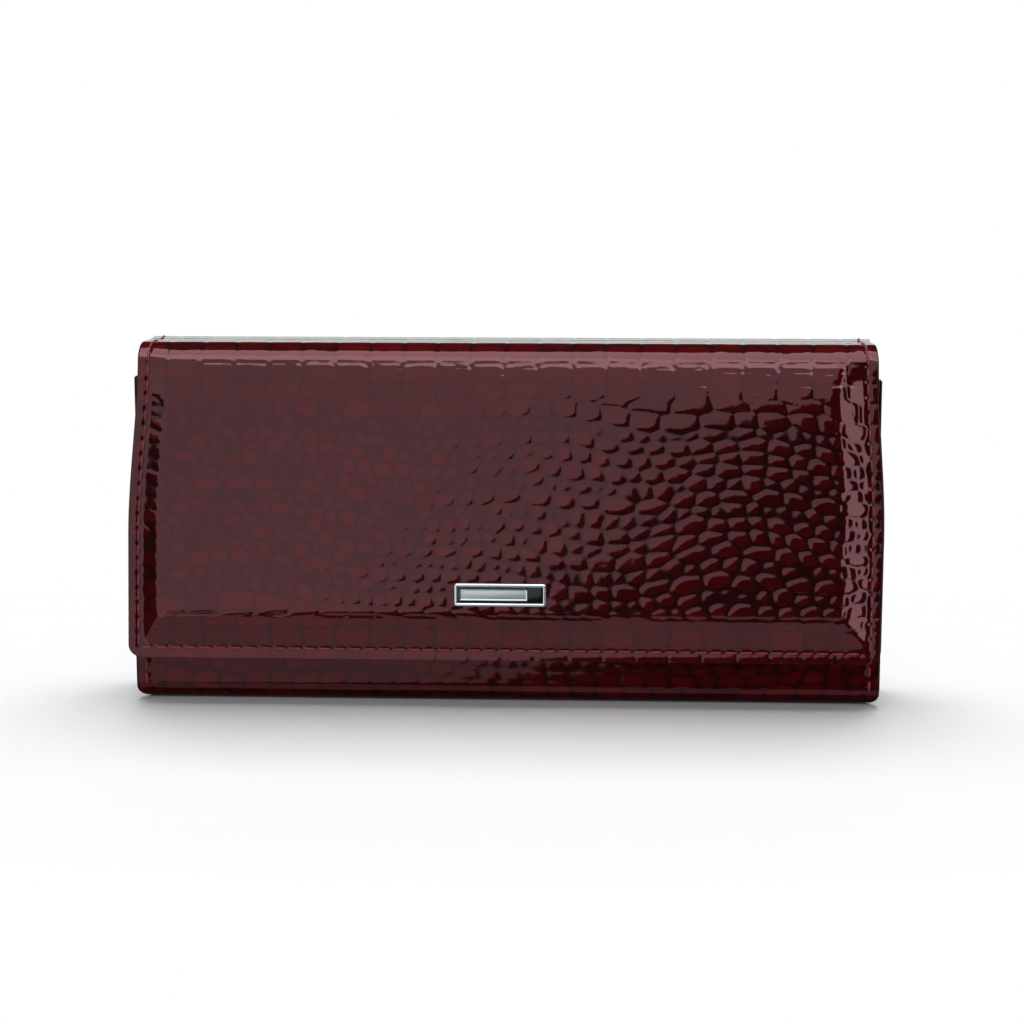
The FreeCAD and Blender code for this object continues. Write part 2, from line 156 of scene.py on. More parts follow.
def grid_faces(rows, columns, first=0, flip=False):
    """Quads of a rows by columns grid whose points are stored row after row."""
    r, c = np.meshgrid(np.arange(rows - 1), np.arange(columns - 1), indexing="ij")
    a = (first + r * columns + c).ravel()
    quads = np.stack([a, a + 1, a + columns + 1, a + columns], axis=1)
    return quads[:, ::-1] if flip else quads


def ring_of(rows, columns, first=0):
    """Indices round the edge of a grid, once round, starting at its first point."""
    index = first + np.arange(rows * columns).reshape(rows, columns)
    return np.concatenate([index[0, :-1], index[:-1, -1], index[-1, :0:-1], index[:0:-1, 0]])


def zip_rings(fine, coarse, step, flip=False):
    """Triangles between a ring and one with a step-th of its points: fans and gap fillers."""
    count = len(coarse)
    near = np.arange(len(fine))
    owner = ((near + step // 2) // step) % count
    following = (near + 1) % len(fine)
    fans = np.stack([fine, fine[following], coarse[owner]], axis=1)
    middle = (np.arange(count) * step + (step - step // 2)) % len(fine)
    gaps = np.stack([fine[middle], coarse[(np.arange(count) + 1) % count], coarse], axis=1)
    faces = np.concatenate([fans, gaps])
    return faces[:, ::-1] if flip else faces


def closed_sheet(name, outer, inner, bulge=0.12, step=1, flip=False):
    """A closed sheet from two grids of points (rows, columns, 3) in millimetres.

    The inner grid holds every step-th row and column of the outer one. Between the two
    rims runs one extra row, half way and pushed outwards by bulge times the thickness.
    Returns the piece and how many of its points belong to the outer face.
    """
    rows, columns = outer.shape[:2]
    rows_in, columns_in = inner.shape[:2]
    outer_count = rows * columns
    ring = ring_of(rows, columns)
    ring_in = ring_of(rows_in, columns_in)
    flat_outer = outer.reshape(-1, 3)
    flat_inner = inner.reshape(-1, 3)
    around = np.arange(len(ring)) / step
    low = np.floor(around).astype(int) % len(ring_in)
    share = (around - np.floor(around))[:, None]
    inner_rim = flat_inner[ring_in[low]] * (1 - share)
    inner_rim += flat_inner[ring_in[(low + 1) % len(ring_in)]] * share
    rim = flat_outer[ring]
    along = np.roll(rim, -1, axis=0) - np.roll(rim, 1, axis=0)
    out = np.cross(along, rim - inner_rim)
    out /= np.maximum(np.linalg.norm(out, axis=1), 1e-9)[:, None]
    centre = flat_outer.mean(axis=0)
    if np.sum(out * (rim - centre)) < 0:
        out = -out
    thickness = np.linalg.norm(rim - inner_rim, axis=1)[:, None]
    middle = (rim + inner_rim) / 2 + out * thickness * bulge
    points = np.concatenate([flat_outer, middle, flat_inner])
    middle_ring = outer_count + np.arange(len(ring))
    ring_in = outer_count + len(ring) + ring_in
    following = np.roll(np.arange(len(ring)), -1)
    wall = np.stack([ring, middle_ring, middle_ring[following], ring[following]], axis=1)
    if flip:
        wall = wall[:, ::-1]
    faces = [grid_faces(rows, columns, 0, flip), wall]
    faces.append(grid_faces(rows_in, columns_in, outer_count + len(ring), not flip))
    faces.append(zip_rings(middle_ring, ring_in, step, not flip))
    all_faces = [tuple(f) for group in faces for f in group.tolist()]
    return new_mesh(name, points, all_faces), outer_count


def set_attribute(piece, name, values):
    """Store one number for each point, for a material to read."""
    attribute = piece.data.attributes.new(name, "FLOAT", "POINT")
    attribute.data.foreach_set("value", np.asarray(values, np.float32))


def smoothstep(t):
    """0 below 0, 1 above 1 and the cubic 3t^2 - 2t^3 between."""
    t = np.clip(t, 0.0, 1.0)
    return t * t * (3 - 2 * t)


# %% [markdown]
# ## The line that the skin follows
#
# Seen from the end, the skin is straight runs joined by round folds. The line is sampled
# densely once, and afterwards any point on it is found by its length along the line. The
# direction square to the line is found the same way, so thickness, padding and relief are
# all added along it and stay even round the folds.

# %% The skin's section
def section(parts, spacing=0.05):
    """Sample lines and arcs in the YZ plane: returns lengths, points and square directions."""
    points = []
    for part in parts:
        if part[0] == "line":
            start, end = np.array(part[1], float), np.array(part[2], float)
            count = max(int(np.linalg.norm(end - start) / spacing), 2)
            t = np.linspace(0, 1, count)[:, None]
            points.append(start + (end - start) * t)
        else:
            centre, radius, first, last = part[1:]
            count = max(int(abs(last - first) * radius / spacing), 8)
            angle = np.linspace(first, last, count)
            circle = np.stack([np.cos(angle), np.sin(angle)], axis=1) * radius
            points.append(np.array(centre, float) + circle)
    line = np.concatenate(points)
    keep = np.ones(len(line), bool)
    keep[1:] = np.linalg.norm(np.diff(line, axis=0), axis=1) > 1e-6
    line = line[keep]
    length = np.concatenate([[0], np.cumsum(np.linalg.norm(np.diff(line, axis=0), axis=1))])
    along = np.gradient(line, length, axis=0)
    along /= np.linalg.norm(along, axis=1)[:, None]
    square = np.stack([-along[:, 1], along[:, 0]], axis=1)
    return length, line, square


def follow(line, s):
    """Points and square directions at lengths s along a sampled section."""
    length, points, square = line
    y = np.interp(s, length, points[:, 0])
    z = np.interp(s, length, points[:, 1])
    ny = np.interp(s, length, square[:, 0])
    nz = np.interp(s, length, square[:, 1])
    size = np.maximum(np.hypot(ny, nz), 1e-9)
    return y, z, ny / size, nz / size


QUARTER = math.pi / 2
flap_line = section([
    ("line", (MARGIN_FACE, FLAP_EDGE_Z), (MARGIN_FACE, FOLD_Z)),
    ("arc", (MARGIN_FACE + FOLD_R, FOLD_Z), FOLD_R, 2 * QUARTER, QUARTER),
    ("line", (MARGIN_FACE + FOLD_R, TOP_FACE), (BAND_MID, TOP_FACE)),
])
back_line = section([
    ("line", (BAND_MID, TOP_FACE), (BACK_FACE - FOLD_R, TOP_FACE)),
    ("arc", (BACK_FACE - FOLD_R, FOLD_Z), FOLD_R, QUARTER, 0.0),
    ("line", (BACK_FACE, FOLD_Z), (BACK_FACE, FOLD_R)),
    ("arc", (BACK_FACE - FOLD_R, FOLD_R), FOLD_R, 0.0, -QUARTER),
    ("line", (BACK_FACE - FOLD_R, 0.0), (BOTTOM_MID, 0.0)),
])
front_line = section([
    ("line", (BOTTOM_MID, 0.0), (FRONT_FACE + FOLD_R, 0.0)),
    ("arc", (FRONT_FACE + FOLD_R, FOLD_R), FOLD_R, -QUARTER, -2 * QUARTER),
    ("line", (FRONT_FACE, FOLD_R), (FRONT_FACE, FRONT_TOP)),
])
FLAP_LENGTH = float(flap_line[0][-1])
BACK_LENGTH = float(back_line[0][-1])
FRONT_LENGTH = float(front_line[0][-1])
FLAP_STRAIGHT = FOLD_Z - FLAP_EDGE_Z
print("skin lengths, mm:", [round(v, 1) for v in (FLAP_LENGTH, BACK_LENGTH, FRONT_LENGTH)])


# %% [markdown]
# ## The embossed pattern
#
# Reptile leather is a field of scales: broad tiles where the hide was widest, which the
# maker lays along the folds, and rounder and smaller scales between them. The field is
# worked out. Rows of different height follow the skin's length, and each row has its own
# scale width. Every scale has a centre that is moved a little by chance, and a weight that
# makes it larger or smaller than its neighbours. At a point of the skin, the four nearest
# centres say how far it is to the groove. That is a weighted Voronoi pattern with rounded
# corners, done on whole arrays for the few scales near each point.

# %% Rows of scales
dice = np.random.default_rng(11)
TOTAL_LENGTH = FLAP_LENGTH + BACK_LENGTH + FRONT_LENGTH
TILE_WIDTH, TILE_HEIGHT, TILE_SIZE = 8.4, 4.9, 6.4
SCALE_WIDTH = 4.7


def tile_share(q):
    """1 where the skin has broad tiles: the lower bevel, the top band and the bottom fold."""
    low = 1 - smoothstep((q - 10.5) / 2.0)
    top = smoothstep((q - (FLAP_STRAIGHT - 9.5)) / 2.0)
    top *= 1 - smoothstep((q - (FLAP_LENGTH + 24.0)) / 4.0)
    bottom = smoothstep((q - (FLAP_LENGTH + BACK_LENGTH - 18.0)) / 4.0)
    bottom *= 1 - smoothstep((q - (FLAP_LENGTH + BACK_LENGTH + 14.0)) / 4.0)
    return np.clip(low + top + 0.6 * bottom, 0, 1)


# Height and width of the round scales, row by row and over again.
PLAIN_ROWS = ((4.5, 6.1), (2.7, 3.9), (4.1, 5.4), (3.0, 4.4), (3.8, 4.9), (2.5, 3.5))


def make_rows():
    """Row by row: the lower edge, the height and the width of its scales."""
    starts, heights, widths = [], [], []
    q = -6.0
    while q < TOTAL_LENGTH + 8.0:
        tiles = float(tile_share(np.array(q + 2.0)))
        plain_height, plain_width = PLAIN_ROWS[len(starts) % len(PLAIN_ROWS)]
        starts.append(q)
        heights.append(plain_height * (1 - tiles) + TILE_HEIGHT * tiles)
        widths.append(plain_width * dice.uniform(0.9, 1.1) * (1 - tiles) + TILE_WIDTH * tiles)
        q += heights[-1]
    return np.array(starts), np.array(heights), np.array(widths)


row_start, row_height, row_width = make_rows()
row_shift = dice.uniform(0, 1, len(row_start))
print("rows of scales:", len(row_start))


def chance(i, j, salt):
    """A repeatable number from 0 to 1 for a pair of whole numbers."""
    value = np.sin(i * 127.1 + j * 311.7 + salt * 74.7) * 43758.5453
    return value - np.floor(value)


ROUNDING = 3.4


def scales(x, q):
    """Groove distance, dome, tone and hue of the emboss at x across and q along the skin.

    With d1 <= d2 <= d3 <= d4 the weighted square distances to the four nearest centres and
    s the scale's size, g_k = (d_k - d1) / 2s is how far it is to the groove shared with
    scale k. The groove distance is -log(sum exp(-c g_k)) / c, which rounds the corners.
    """
    tiles = tile_share(q)
    loose = 1 - tiles
    sway = loose * (1.5 * np.sin(x / 23.0 + q / 17.0) + 0.9 * np.sin(x / 9.0 - q / 21.0))
    sway += loose * (0.035 * x + 1.6 * np.exp(-(((x - 30) / 22.0) ** 2)))
    drift = loose * (1.3 * np.sin(q / 13.0 + x / 40.0) + 0.6 * np.sin(q / 5.1 + x / 11.0))
    drift += 0.25 * np.sin(q / 2.3 + x / 6.0) + 4.5 * loose * np.sin(x / 24.0 + 1.0)
    qq = q + sway
    xx = x + drift
    row = np.clip(np.searchsorted(row_start, qq, side="right") - 1, 1, len(row_start) - 2)
    distances, columns, rows_used = [], [], []
    for dj in (-1, 0, 1):
        j = row + dj
        width, height = row_width[j], row_height[j]
        own_tiles = tile_share(row_start[j] + height / 2)
        shift = row_shift[j] * (1 - own_tiles)
        column = np.floor(xx / width + shift)
        jitter = 0.06 + 0.42 * (1 - own_tiles)
        for di in (-2, -1, 0, 1, 2):
            i = column + di
            cx = (i + 0.5 + jitter * (chance(i, j, 1) - 0.5) - shift) * width
            cq = row_start[j] + height * (0.5 + jitter * 0.8 * (chance(i, j, 2) - 0.5))
            weight = (1 - own_tiles) * (chance(i, j, 3) - 0.35) * 2.8
            weight += (1 - own_tiles) * 0.16 * (width - 4.6) * 4.6
            dx = (xx - cx) * (1.0 - 0.24 * (1 - own_tiles))
            dq = qq - cq
            box = np.maximum(np.abs(dx) / width, np.abs(dq) / height) ** 2 * width * height
            away = (dx * dx + dq * dq) * (1 - own_tiles) + box * own_tiles - weight
            distances.append(away)
            columns.append(i)
            rows_used.append(j)
    distances = np.stack(distances)
    own = np.argmin(distances, axis=0)[None]
    i = np.take_along_axis(np.stack(columns), own, 0)[0]
    j = np.take_along_axis(np.stack(rows_used), own, 0)[0]
    near = np.sort(np.partition(distances, 3, axis=0)[:4], axis=0)
    size = SCALE_WIDTH * (1 - tiles) + TILE_SIZE * tiles
    gaps = (near[1:] - near[0]) / (2 * size)
    groove = -np.log(np.sum(np.exp(-ROUNDING * gaps), axis=0)) / ROUNDING
    dome = np.clip(1 - near[0] / (0.30 * size * size), 0, 1)
    return groove, dome, chance(i, j, 5), chance(i, j, 7)


GROOVE_WIDTH = 0.62
GROOVE_DEPTH = 0.075
DOME_HEIGHT = 0.045
WRINKLE_DEPTH = 0.035
GROOVE_DYE, WRINKLE_DYE = 0.9, 0.30
DYE_START, DYE_WIDTH = 0.02, 0.52
# How strong the relief is: at the left, on the tiles of the band, and its loss low down.
LEFT_RELIEF, BAND_RELIEF, LOW_TILE_LOSS = 0.62, 1.15, 0.45


def emboss(x, q):
    """Relief in millimetres (0 at a scale's rim, lower in a groove) and the colour masks."""
    groove, dome, tone, hue = scales(x, q)
    tiles = tile_share(q)
    floor = 1 - smoothstep(groove / GROOVE_WIDTH)
    relief = -GROOVE_DEPTH * floor + DOME_HEIGHT * dome * (1 - 0.7 * tiles)
    wave = np.sin(q * 2.9 + 1.7 * np.sin(x / 5.3) + 5 * chance(np.floor(x / TILE_WIDTH), 0, 9))
    wrinkle = smoothstep((wave - 0.90) / 0.10) * tiles
    relief -= WRINKLE_DEPTH * wrinkle
    mask = GROOVE_DYE * (1 - smoothstep((groove - DYE_START) / DYE_WIDTH))
    high_tiles = tiles * smoothstep((q - 30.0) / 10.0)
    strength = np.maximum(LEFT_RELIEF + smoothstep((x - 8.0) / 70.0), BAND_RELIEF * high_tiles)
    strength = strength * (1 - LOW_TILE_LOSS * tiles * (1 - smoothstep((q - 10.0) / 4.0)))
    return relief * strength, np.clip(mask + WRINKLE_DYE * wrinkle, 0, 1), tone, hue


# %% [markdown]
# ## The outline, the padding and the row of stitches
#
# The flap is a little wider at its free edge than at the fold, and its two free corners are
# rounded. Foam lifts its middle: the leather rises from the stitches in a slope of its own
# width on each side and runs level inside. At the top the padding dies away round the fold.
# The needle pulls the leather down along the seam, and every stitch ends in a small hole.

# %% Flap outline, padding and seam
STITCH_INSET = 2.6
STITCH_PITCH = 3.8
SEAM_HALF = STITCH_INSET + 1.0
SLOPE_LEFT, SLOPE_RIGHT, SLOPE_LOW = 4.6, 7.0, 8.0
PAD_SWELL, PAD_TOP, PAD_FADE = 0.35, 8.0, 15.0
CREASE_DEPTH = 0.10
SEAM_DIP, SEAM_WIDTH = 0.15, 0.55
HOLE_DEPTH, HOLE_WIDTH = 0.26, 0.42


def flap_width(s):
    """Half the flap's width at length s from its free edge: it narrows most near the fold."""
    rise = np.clip(s / FLAP_STRAIGHT, 0, 1)
    narrow = 0.25 * rise + 0.75 * smoothstep((rise - 0.42) / 0.62)
    return FLAP_HALF_LOW + (FLAP_HALF_TOP - FLAP_HALF_LOW) * narrow


def plain_flap_half(s):
    """Half the flap's width without its round corners: it is narrower over the fold."""
    over = (s - FLAP_STRAIGHT) / (FLAP_LENGTH - FLAP_STRAIGHT)
    return flap_width(s) - BAND_NARROWER * smoothstep(over)


def flap_half(s):
    """The flap's half width with the round corners."""
    inside = np.clip(CORNER_R - s, 0, CORNER_R)
    round_corner = np.sqrt(np.maximum(CORNER_R ** 2 - inside ** 2, 0))
    return plain_flap_half(s) - CORNER_R + round_corner


def flap_shift(s):
    """The flap is sewn on a little askew: its free edge is OFF_CENTRE to the left."""
    return BAND_SHIFT - (OFF_CENTRE + BAND_SHIFT) * (1 - np.clip(s / FLAP_STRAIGHT, 0, 1))


def soft_step(t, softness=0.22):
    """Rises like t and rounds off to 1, without a corner where it gets there."""
    t = np.clip(t, 0, 1 + softness)
    gap = np.clip(softness - np.abs(t - 1), 0, None) / (2 * softness)
    return np.minimum(t, 1) - gap * gap * softness


def padding(x, s):
    """Height of the padded middle over the flap's margin, in millimetres."""
    half = flap_width(s)
    left = (half - SEAM_HALF + x) / SLOPE_LEFT
    right = (half - SEAM_HALF - x) / SLOPE_RIGHT
    low = (s - SEAM_HALF) / SLOPE_LOW
    nearest = np.minimum(np.minimum(left, right), low)
    smooth = -np.log(np.exp(-6 * np.clip(left, -1, 3)) + np.exp(-6 * np.clip(right, -1, 3))
                     + np.exp(-6 * np.clip(low, -1, 3))) / 6
    rise = soft_step(np.clip(np.minimum(smooth, nearest), 0, 2))
    top = 1 - smoothstep((s - FLAP_STRAIGHT + PAD_TOP) / PAD_FADE)
    level = CROWN + PAD_SWELL * (1 - (x / half) ** 2) * smoothstep(s / 30.0)
    broken = smoothstep((np.sin(x / 7.7) + np.sin(x / 3.1 + s / 9.0) + 0.6) / 0.8)
    crease = CREASE_DEPTH * np.exp(-(((smooth - 1.02) / 0.045) ** 2)) * broken
    return level * rise * top - crease * top


def seam_pull(distance, along, pitch=STITCH_PITCH):
    """The dip of the leather along a seam, and a mask of the needle holes.

    distance is how far a point is from the seam, along is its length on the seam.
    """
    dip = SEAM_DIP * np.exp(-((distance / SEAM_WIDTH) ** 2))
    phase = np.abs((along / pitch) % 1.0 - 0.5) * pitch
    end = np.hypot(distance, (0.5 * pitch - phase))
    hole = np.exp(-((end / HOLE_WIDTH) ** 2))
    return -dip - HOLE_DEPTH * hole, hole


# %% [markdown]
# ## The outer skin, in three pieces
#
# A leather that folds across a hinge has to bend with it, and one piece can follow one
# hinge. So the skin is cut where nobody looks and where it lies flat: across the middle of
# the top band and under the bottom. The two sides of a cut share the same points and the
# same pattern, so the cut doesn't show.

# %% Build one stretch of skin
def skin_grid(line, s, half, relief, lift, x_unit, shift=0.0):
    """Points of a face: the section at s, widened to half, raised by relief and lift."""
    y, z, ny, nz = follow(line, s)
    x = x_unit[None, :] * half[:, None] + np.reshape(shift, (-1, 1))
    height = relief + lift
    return np.stack([
        x,
        y[:, None] + ny[:, None] * height,
        z[:, None] + nz[:, None] * height,
    ], axis=2)


def spaced(length, spacing, fine_start=0.0):
    """Lengths along a stretch, closer together over the first fine_start millimetres."""
    count = int(length / spacing)
    count += (-count) % 4
    s = np.linspace(0, length, count + 1)
    if fine_start:
        near = np.clip(s / fine_start, 0, 1)
        s = np.where(s < fine_start, fine_start * (1 - np.cos(near * QUARTER)), s)
    return s


def across(half, spacing):
    """Unit positions across a stretch, a multiple of 4 spaces."""
    count = int(2 * half / spacing)
    count += (-count) % 4
    return np.linspace(-1, 1, count + 1)


INNER_STEP = 4


def make_skin(name, line, s, half, q, lift, seam, spacing, shift=0.0, strength=1.0):
    """A stretch of embossed skin with its thickness, pattern attributes and painted rim."""
    x_unit = across(float(half.max()), spacing)
    x = x_unit[None, :] * half[:, None]
    grid_q = np.repeat(q[:, None], len(x_unit), axis=1)
    relief, groove, tone, hue = emboss(x, grid_q)
    rim = np.minimum(half[:, None] - np.abs(x), 9.0)
    calm = strength * smoothstep((rim - 0.2) / 1.2)
    raised = lift(x, np.repeat(s[:, None], len(x_unit), axis=1))
    pull, hole = seam(x, np.repeat(s[:, None], len(x_unit), axis=1))
    shift = np.broadcast_to(shift, s.shape)
    outer = skin_grid(line, s, half, relief * calm + pull, raised, x_unit, shift)
    coarse_s = s[::INNER_STEP]
    coarse_x = x_unit[::INNER_STEP]
    below = raised[::INNER_STEP, ::INNER_STEP] - LEATHER
    coarse_half, coarse_shift = half[::INNER_STEP], shift[::INNER_STEP]
    inner = skin_grid(line, coarse_s, coarse_half, 0 * below, below, coarse_x, coarse_shift)
    piece, outer_count = closed_sheet(name, outer, inner, 0.10, INNER_STEP, True)
    rest = len(piece.data.vertices) - outer_count
    plain = np.zeros(rest)
    painted = np.concatenate([1 - smoothstep((rim.ravel() - 0.05) / 0.5), plain + 1])
    set_attribute(piece, "groove", np.concatenate([np.clip(groove, 0, 1).ravel(), plain]))
    set_attribute(piece, "tone", np.concatenate([tone.ravel(), plain + 0.5]))
    set_attribute(piece, "hue", np.concatenate([hue.ravel(), plain + 0.5]))
    set_attribute(piece, "painted_edge", painted)
    # The hole mask is where the material paints shade: it darkens the needle holes to near
    # black.
    set_attribute(piece, "needle_hole_shade", np.concatenate([hole.ravel(), plain]))
    print(name, "points", len(piece.data.vertices), "faces", len(piece.data.polygons))
    return piece


# %% The flap and the front half of the top band
FLAP_SPACING = 0.42


def flap_seam(x, s):
    """The seam round the flap: up both sides, over the fold, and along the free edge."""
    half = plain_flap_half(s)
    side = np.abs(np.abs(x) - (half - STITCH_INSET))
    low = np.abs(s - STITCH_INSET)
    side_pull, side_hole = seam_pull(side, s - STITCH_INSET)
    low_pull, low_hole = seam_pull(low, x + FLAP_HALF_LOW - STITCH_INSET)
    above = s > STITCH_INSET - 0.4
    inside = np.abs(x) < half - STITCH_INSET + 0.4
    side_pull, side_hole = side_pull * above, side_hole * above
    low_pull, low_hole = low_pull * inside, low_hole * inside
    return np.minimum(side_pull, low_pull), np.maximum(side_hole, low_hole)


flap_s = spaced(FLAP_LENGTH, FLAP_SPACING, CORNER_R)
flap_skin = make_skin(
    "flap_skin", flap_line, flap_s, flap_half(flap_s), flap_s, padding, flap_seam,
    FLAP_SPACING, flap_shift(flap_s),
)
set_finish(flap_skin, "patent_leather")
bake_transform(flap_skin)
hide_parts("flap_leather", "spine_leather")


# %% The back half of the band, the back and half of the bottom
CASE_SPACING = 0.62
BACK_STRAIGHT_START = (BACK_FACE - FOLD_R - BAND_MID) + QUARTER * FOLD_R


def corner_trim(z, radius=CORNER_R):
    """How much narrower the case is near its bottom, where its corners are rounded."""
    inside = np.clip(radius - z, 0, radius)
    return radius - np.sqrt(np.maximum(radius ** 2 - inside ** 2, 0))


def case_half(z):
    """Half the case's width at height z: it draws in a little towards its top."""
    return CASE_HALF + CASE_WIDER - CASE_TAPER * smoothstep((z - 30.0) / 50.0)


def off_the_band(s):
    """0 on the top band and 1 on the back, at length s along the back stretch."""
    return smoothstep(s / (BACK_STRAIGHT_START + 6.0))


def plain_back_half(s):
    """Half width of the back stretch: the band's at the top, then the case's."""
    _, z, _, _ = follow(back_line, s)
    narrow = FLAP_HALF_TOP - BAND_NARROWER
    return narrow + (case_half(z) - narrow) * off_the_band(s)


def back_half(s):
    """The same with the round corners at the bottom."""
    _, z, _, _ = follow(back_line, s)
    return plain_back_half(s) - corner_trim(z)


def back_shift(s):
    """The band's middle line, carried over to the back."""
    return BAND_SHIFT * (1 - off_the_band(s))


def side_seam(first, last, half):
    """A seam along both side edges between two lengths."""
    def seam(x, s):
        away = np.abs(np.abs(x) - (half - STITCH_INSET))
        pull, hole = seam_pull(away, s - first)
        on = (s > first - 0.5) & (s < last + 0.5)
        return pull * on, hole * on
    return seam


def flat(x, s):
    """No padding."""
    return np.zeros(x.shape)


back_s = spaced(BACK_LENGTH, CASE_SPACING)
BACK_STRAIGHT_END = BACK_STRAIGHT_START + FOLD_Z - FOLD_R
back_skin = make_skin(
    "back_skin", back_line, back_s, back_half(back_s), FLAP_LENGTH + back_s, flat,
    side_seam(BACK_STRAIGHT_START + 2, BACK_STRAIGHT_END - 2, CASE_HALF - 0.8),
    CASE_SPACING, back_shift(back_s),
)
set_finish(back_skin, "patent_leather")
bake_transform(back_skin)
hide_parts("back_leather", "spine_leather")


# %% The front half of the bottom and the front panel
def plain_front_half(s):
    """Half the front stretch's width without its round corners."""
    _, z, _, _ = follow(front_line, s)
    return case_half(z)


def front_half(s):
    """Half width of the front stretch, with its rounded bottom corners."""
    _, z, _, _ = follow(front_line, s)
    return case_half(z) - corner_trim(z)


FRONT_STRAIGHT_START = FRONT_LENGTH - (FRONT_TOP - FOLD_R)
front_s = spaced(FRONT_LENGTH, CASE_SPACING)
front_skin = make_skin(
    "front_skin", front_line, front_s, front_half(front_s),
    FLAP_LENGTH + BACK_LENGTH + front_s, flat,
    side_seam(FRONT_STRAIGHT_START - 3, FRONT_LENGTH - 3, CASE_HALF - 0.8), CASE_SPACING,
    strength=0.5,
)
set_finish(front_skin, "patent_leather")
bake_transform(front_skin)
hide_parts("front_leather", "back_leather")

# %% [markdown]
# ## Thread
#
# A lockstitch shows as a row of short, slightly sunken bars. Each stitch dives into its
# needle hole at both ends, and two neighbours share a hole. A stitch is a thin tube along
# the surface: it stands highest in the middle and ends below the leather. All stitches of a
# run are worked out together as one array, with six faces round each and six along it.

# %% Stitches along a path
THREAD_R = 0.31
STITCH_LENGTH = 3.1
STITCH_RISE, STITCH_DIVE = 0.06, 0.40


def make_thread(name, runs):
    """Stitches as small closed tubes.

    runs holds (path, starts): path(u) gives points and outward directions in millimetres,
    shaped like u, and starts are the lengths where the stitches begin. At t from -1 to 1
    along a stitch the radius is r (1 - t^6)^(1/2) and the height rise - dive t^4.
    """
    t = np.array([-1.0, -0.86, -0.55, 0.0, 0.55, 0.86, 1.0])
    sides = 6
    around = np.linspace(0, 2 * math.pi, sides + 1)[:-1]
    points, faces, strand = [], [], []
    first = 0
    for path, starts in runs:
        u = np.asarray(starts)[:, None] + (t[None, :] + 1) / 2 * STITCH_LENGTH
        place, out = path(u)
        along = np.gradient(place, axis=1)
        along /= np.linalg.norm(along, axis=2)[..., None]
        side = np.cross(along, out)
        height = STITCH_RISE - STITCH_DIVE * t ** 4
        radius = THREAD_R * np.sqrt(np.clip(1 - np.abs(t) ** 6, 0, 1)) + 0.02
        centre = place + out * height[None, :, None]
        ring = (
            np.cos(around)[None, None, :, None] * side[:, :, None, :]
            + np.sin(around)[None, None, :, None] * out[:, :, None, :] * 0.8
        )
        ring = centre[:, :, None, :] + ring * radius[None, :, None, None]
        count, rings = u.shape
        points.append(ring.reshape(-1, 3))
        strand.append(np.broadcast_to(
            t[None, :, None] * 2.2 + around[None, None, :] / (2 * math.pi), ring.shape[:3]
        ).ravel())
        index = first + np.arange(count * rings * sides).reshape(count, rings, sides)
        turned = np.roll(index, -1, axis=2)
        quads = np.stack([index[:, :-1], turned[:, :-1], turned[:, 1:], index[:, 1:]], axis=-1)
        faces += quads.reshape(-1, 4).tolist()
        faces += index[:, 0, ::-1].tolist() + index[:, -1].tolist()
        first += count * rings * sides
    piece = new_mesh(name, np.concatenate(points), faces)
    set_attribute(piece, "strand", np.concatenate(strand))
    print(name, "stitches", first // (len(t) * sides))
    return piece


def up_the_side(line, half, side, shift=lambda s: 0 * s, inset=STITCH_INSET, face=0.0):
    """A path along a stretch's side edge, inset from it. face 0 is the outside."""
    def path(s):
        y, z, ny, nz = follow(line, s)
        x = side * (half(s) - inset) + shift(s)
        place = np.stack([x, y + ny * face, z + nz * face], axis=-1)
        sign = 1.0 if face == 0 else -1.0
        return place, np.stack([0 * y, ny * sign, nz * sign], axis=-1)
    return path


def along_the_edge(face=0.0):
    """The path of the seam above the flap's free edge, measured across."""
    def path(x):
        s = np.full(x.shape, STITCH_INSET)
        y, z, ny, nz = follow(flap_line, s)
        sign = 1.0 if face == 0 else -1.0
        place = np.stack([x + flap_shift(s), y + ny * face, z + nz * face], axis=-1)
        return place, np.stack([0 * y, ny * sign, nz * sign], axis=-1)
    return path


def holes_between(first, last, origin):
    """Starts of the stitches whose holes fall on whole pitches from origin."""
    low = math.ceil((first - origin) / STITCH_PITCH)
    high = math.floor((last - origin) / STITCH_PITCH)
    gap = (STITCH_PITCH - STITCH_LENGTH) / 2
    return origin + np.arange(low, high) * STITCH_PITCH + gap


LINING_FACE = -2.28
side_starts = holes_between(STITCH_INSET - 0.1, FLAP_LENGTH, STITCH_INSET)
edge_limit = FLAP_HALF_LOW - STITCH_INSET
edge_starts = holes_between(-edge_limit - 0.1, edge_limit + 0.1, -edge_limit)
flap_runs = []
for side in (-1, 1):
    flap_runs.append((up_the_side(flap_line, plain_flap_half, side, flap_shift), side_starts))
    inner_side = up_the_side(flap_line, plain_flap_half, side, flap_shift, face=LINING_FACE)
    flap_runs.append((inner_side, side_starts[side_starts < FLAP_STRAIGHT - 6]))
flap_runs.append((along_the_edge(), edge_starts))
flap_runs.append((along_the_edge(LINING_FACE), edge_starts))
flap_thread = make_thread("flap_thread", flap_runs)
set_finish(flap_thread, "thread")
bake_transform(flap_thread)
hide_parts("flap_stitching", "spine_stitching")


# %% Thread of the back, the band and the front panel
back_origin = STITCH_PITCH - (FLAP_LENGTH - STITCH_INSET) % STITCH_PITCH
back_starts = holes_between(0, BACK_STRAIGHT_END - 1, back_origin)
front_starts = holes_between(FRONT_STRAIGHT_START - 4, FRONT_LENGTH - 2.0, 0.0)
back_thread = make_thread("back_thread", [
    (up_the_side(back_line, plain_back_half, side, back_shift), back_starts)
    for side in (-1, 1)
])
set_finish(back_thread, "thread")
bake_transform(back_thread)
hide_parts("back_stitching", "spine_stitching")
front_thread = make_thread("front_thread", [
    (up_the_side(front_line, plain_front_half, side), front_starts) for side in (-1, 1)
])
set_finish(front_thread, "thread")
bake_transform(front_thread)
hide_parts("front_stitching")


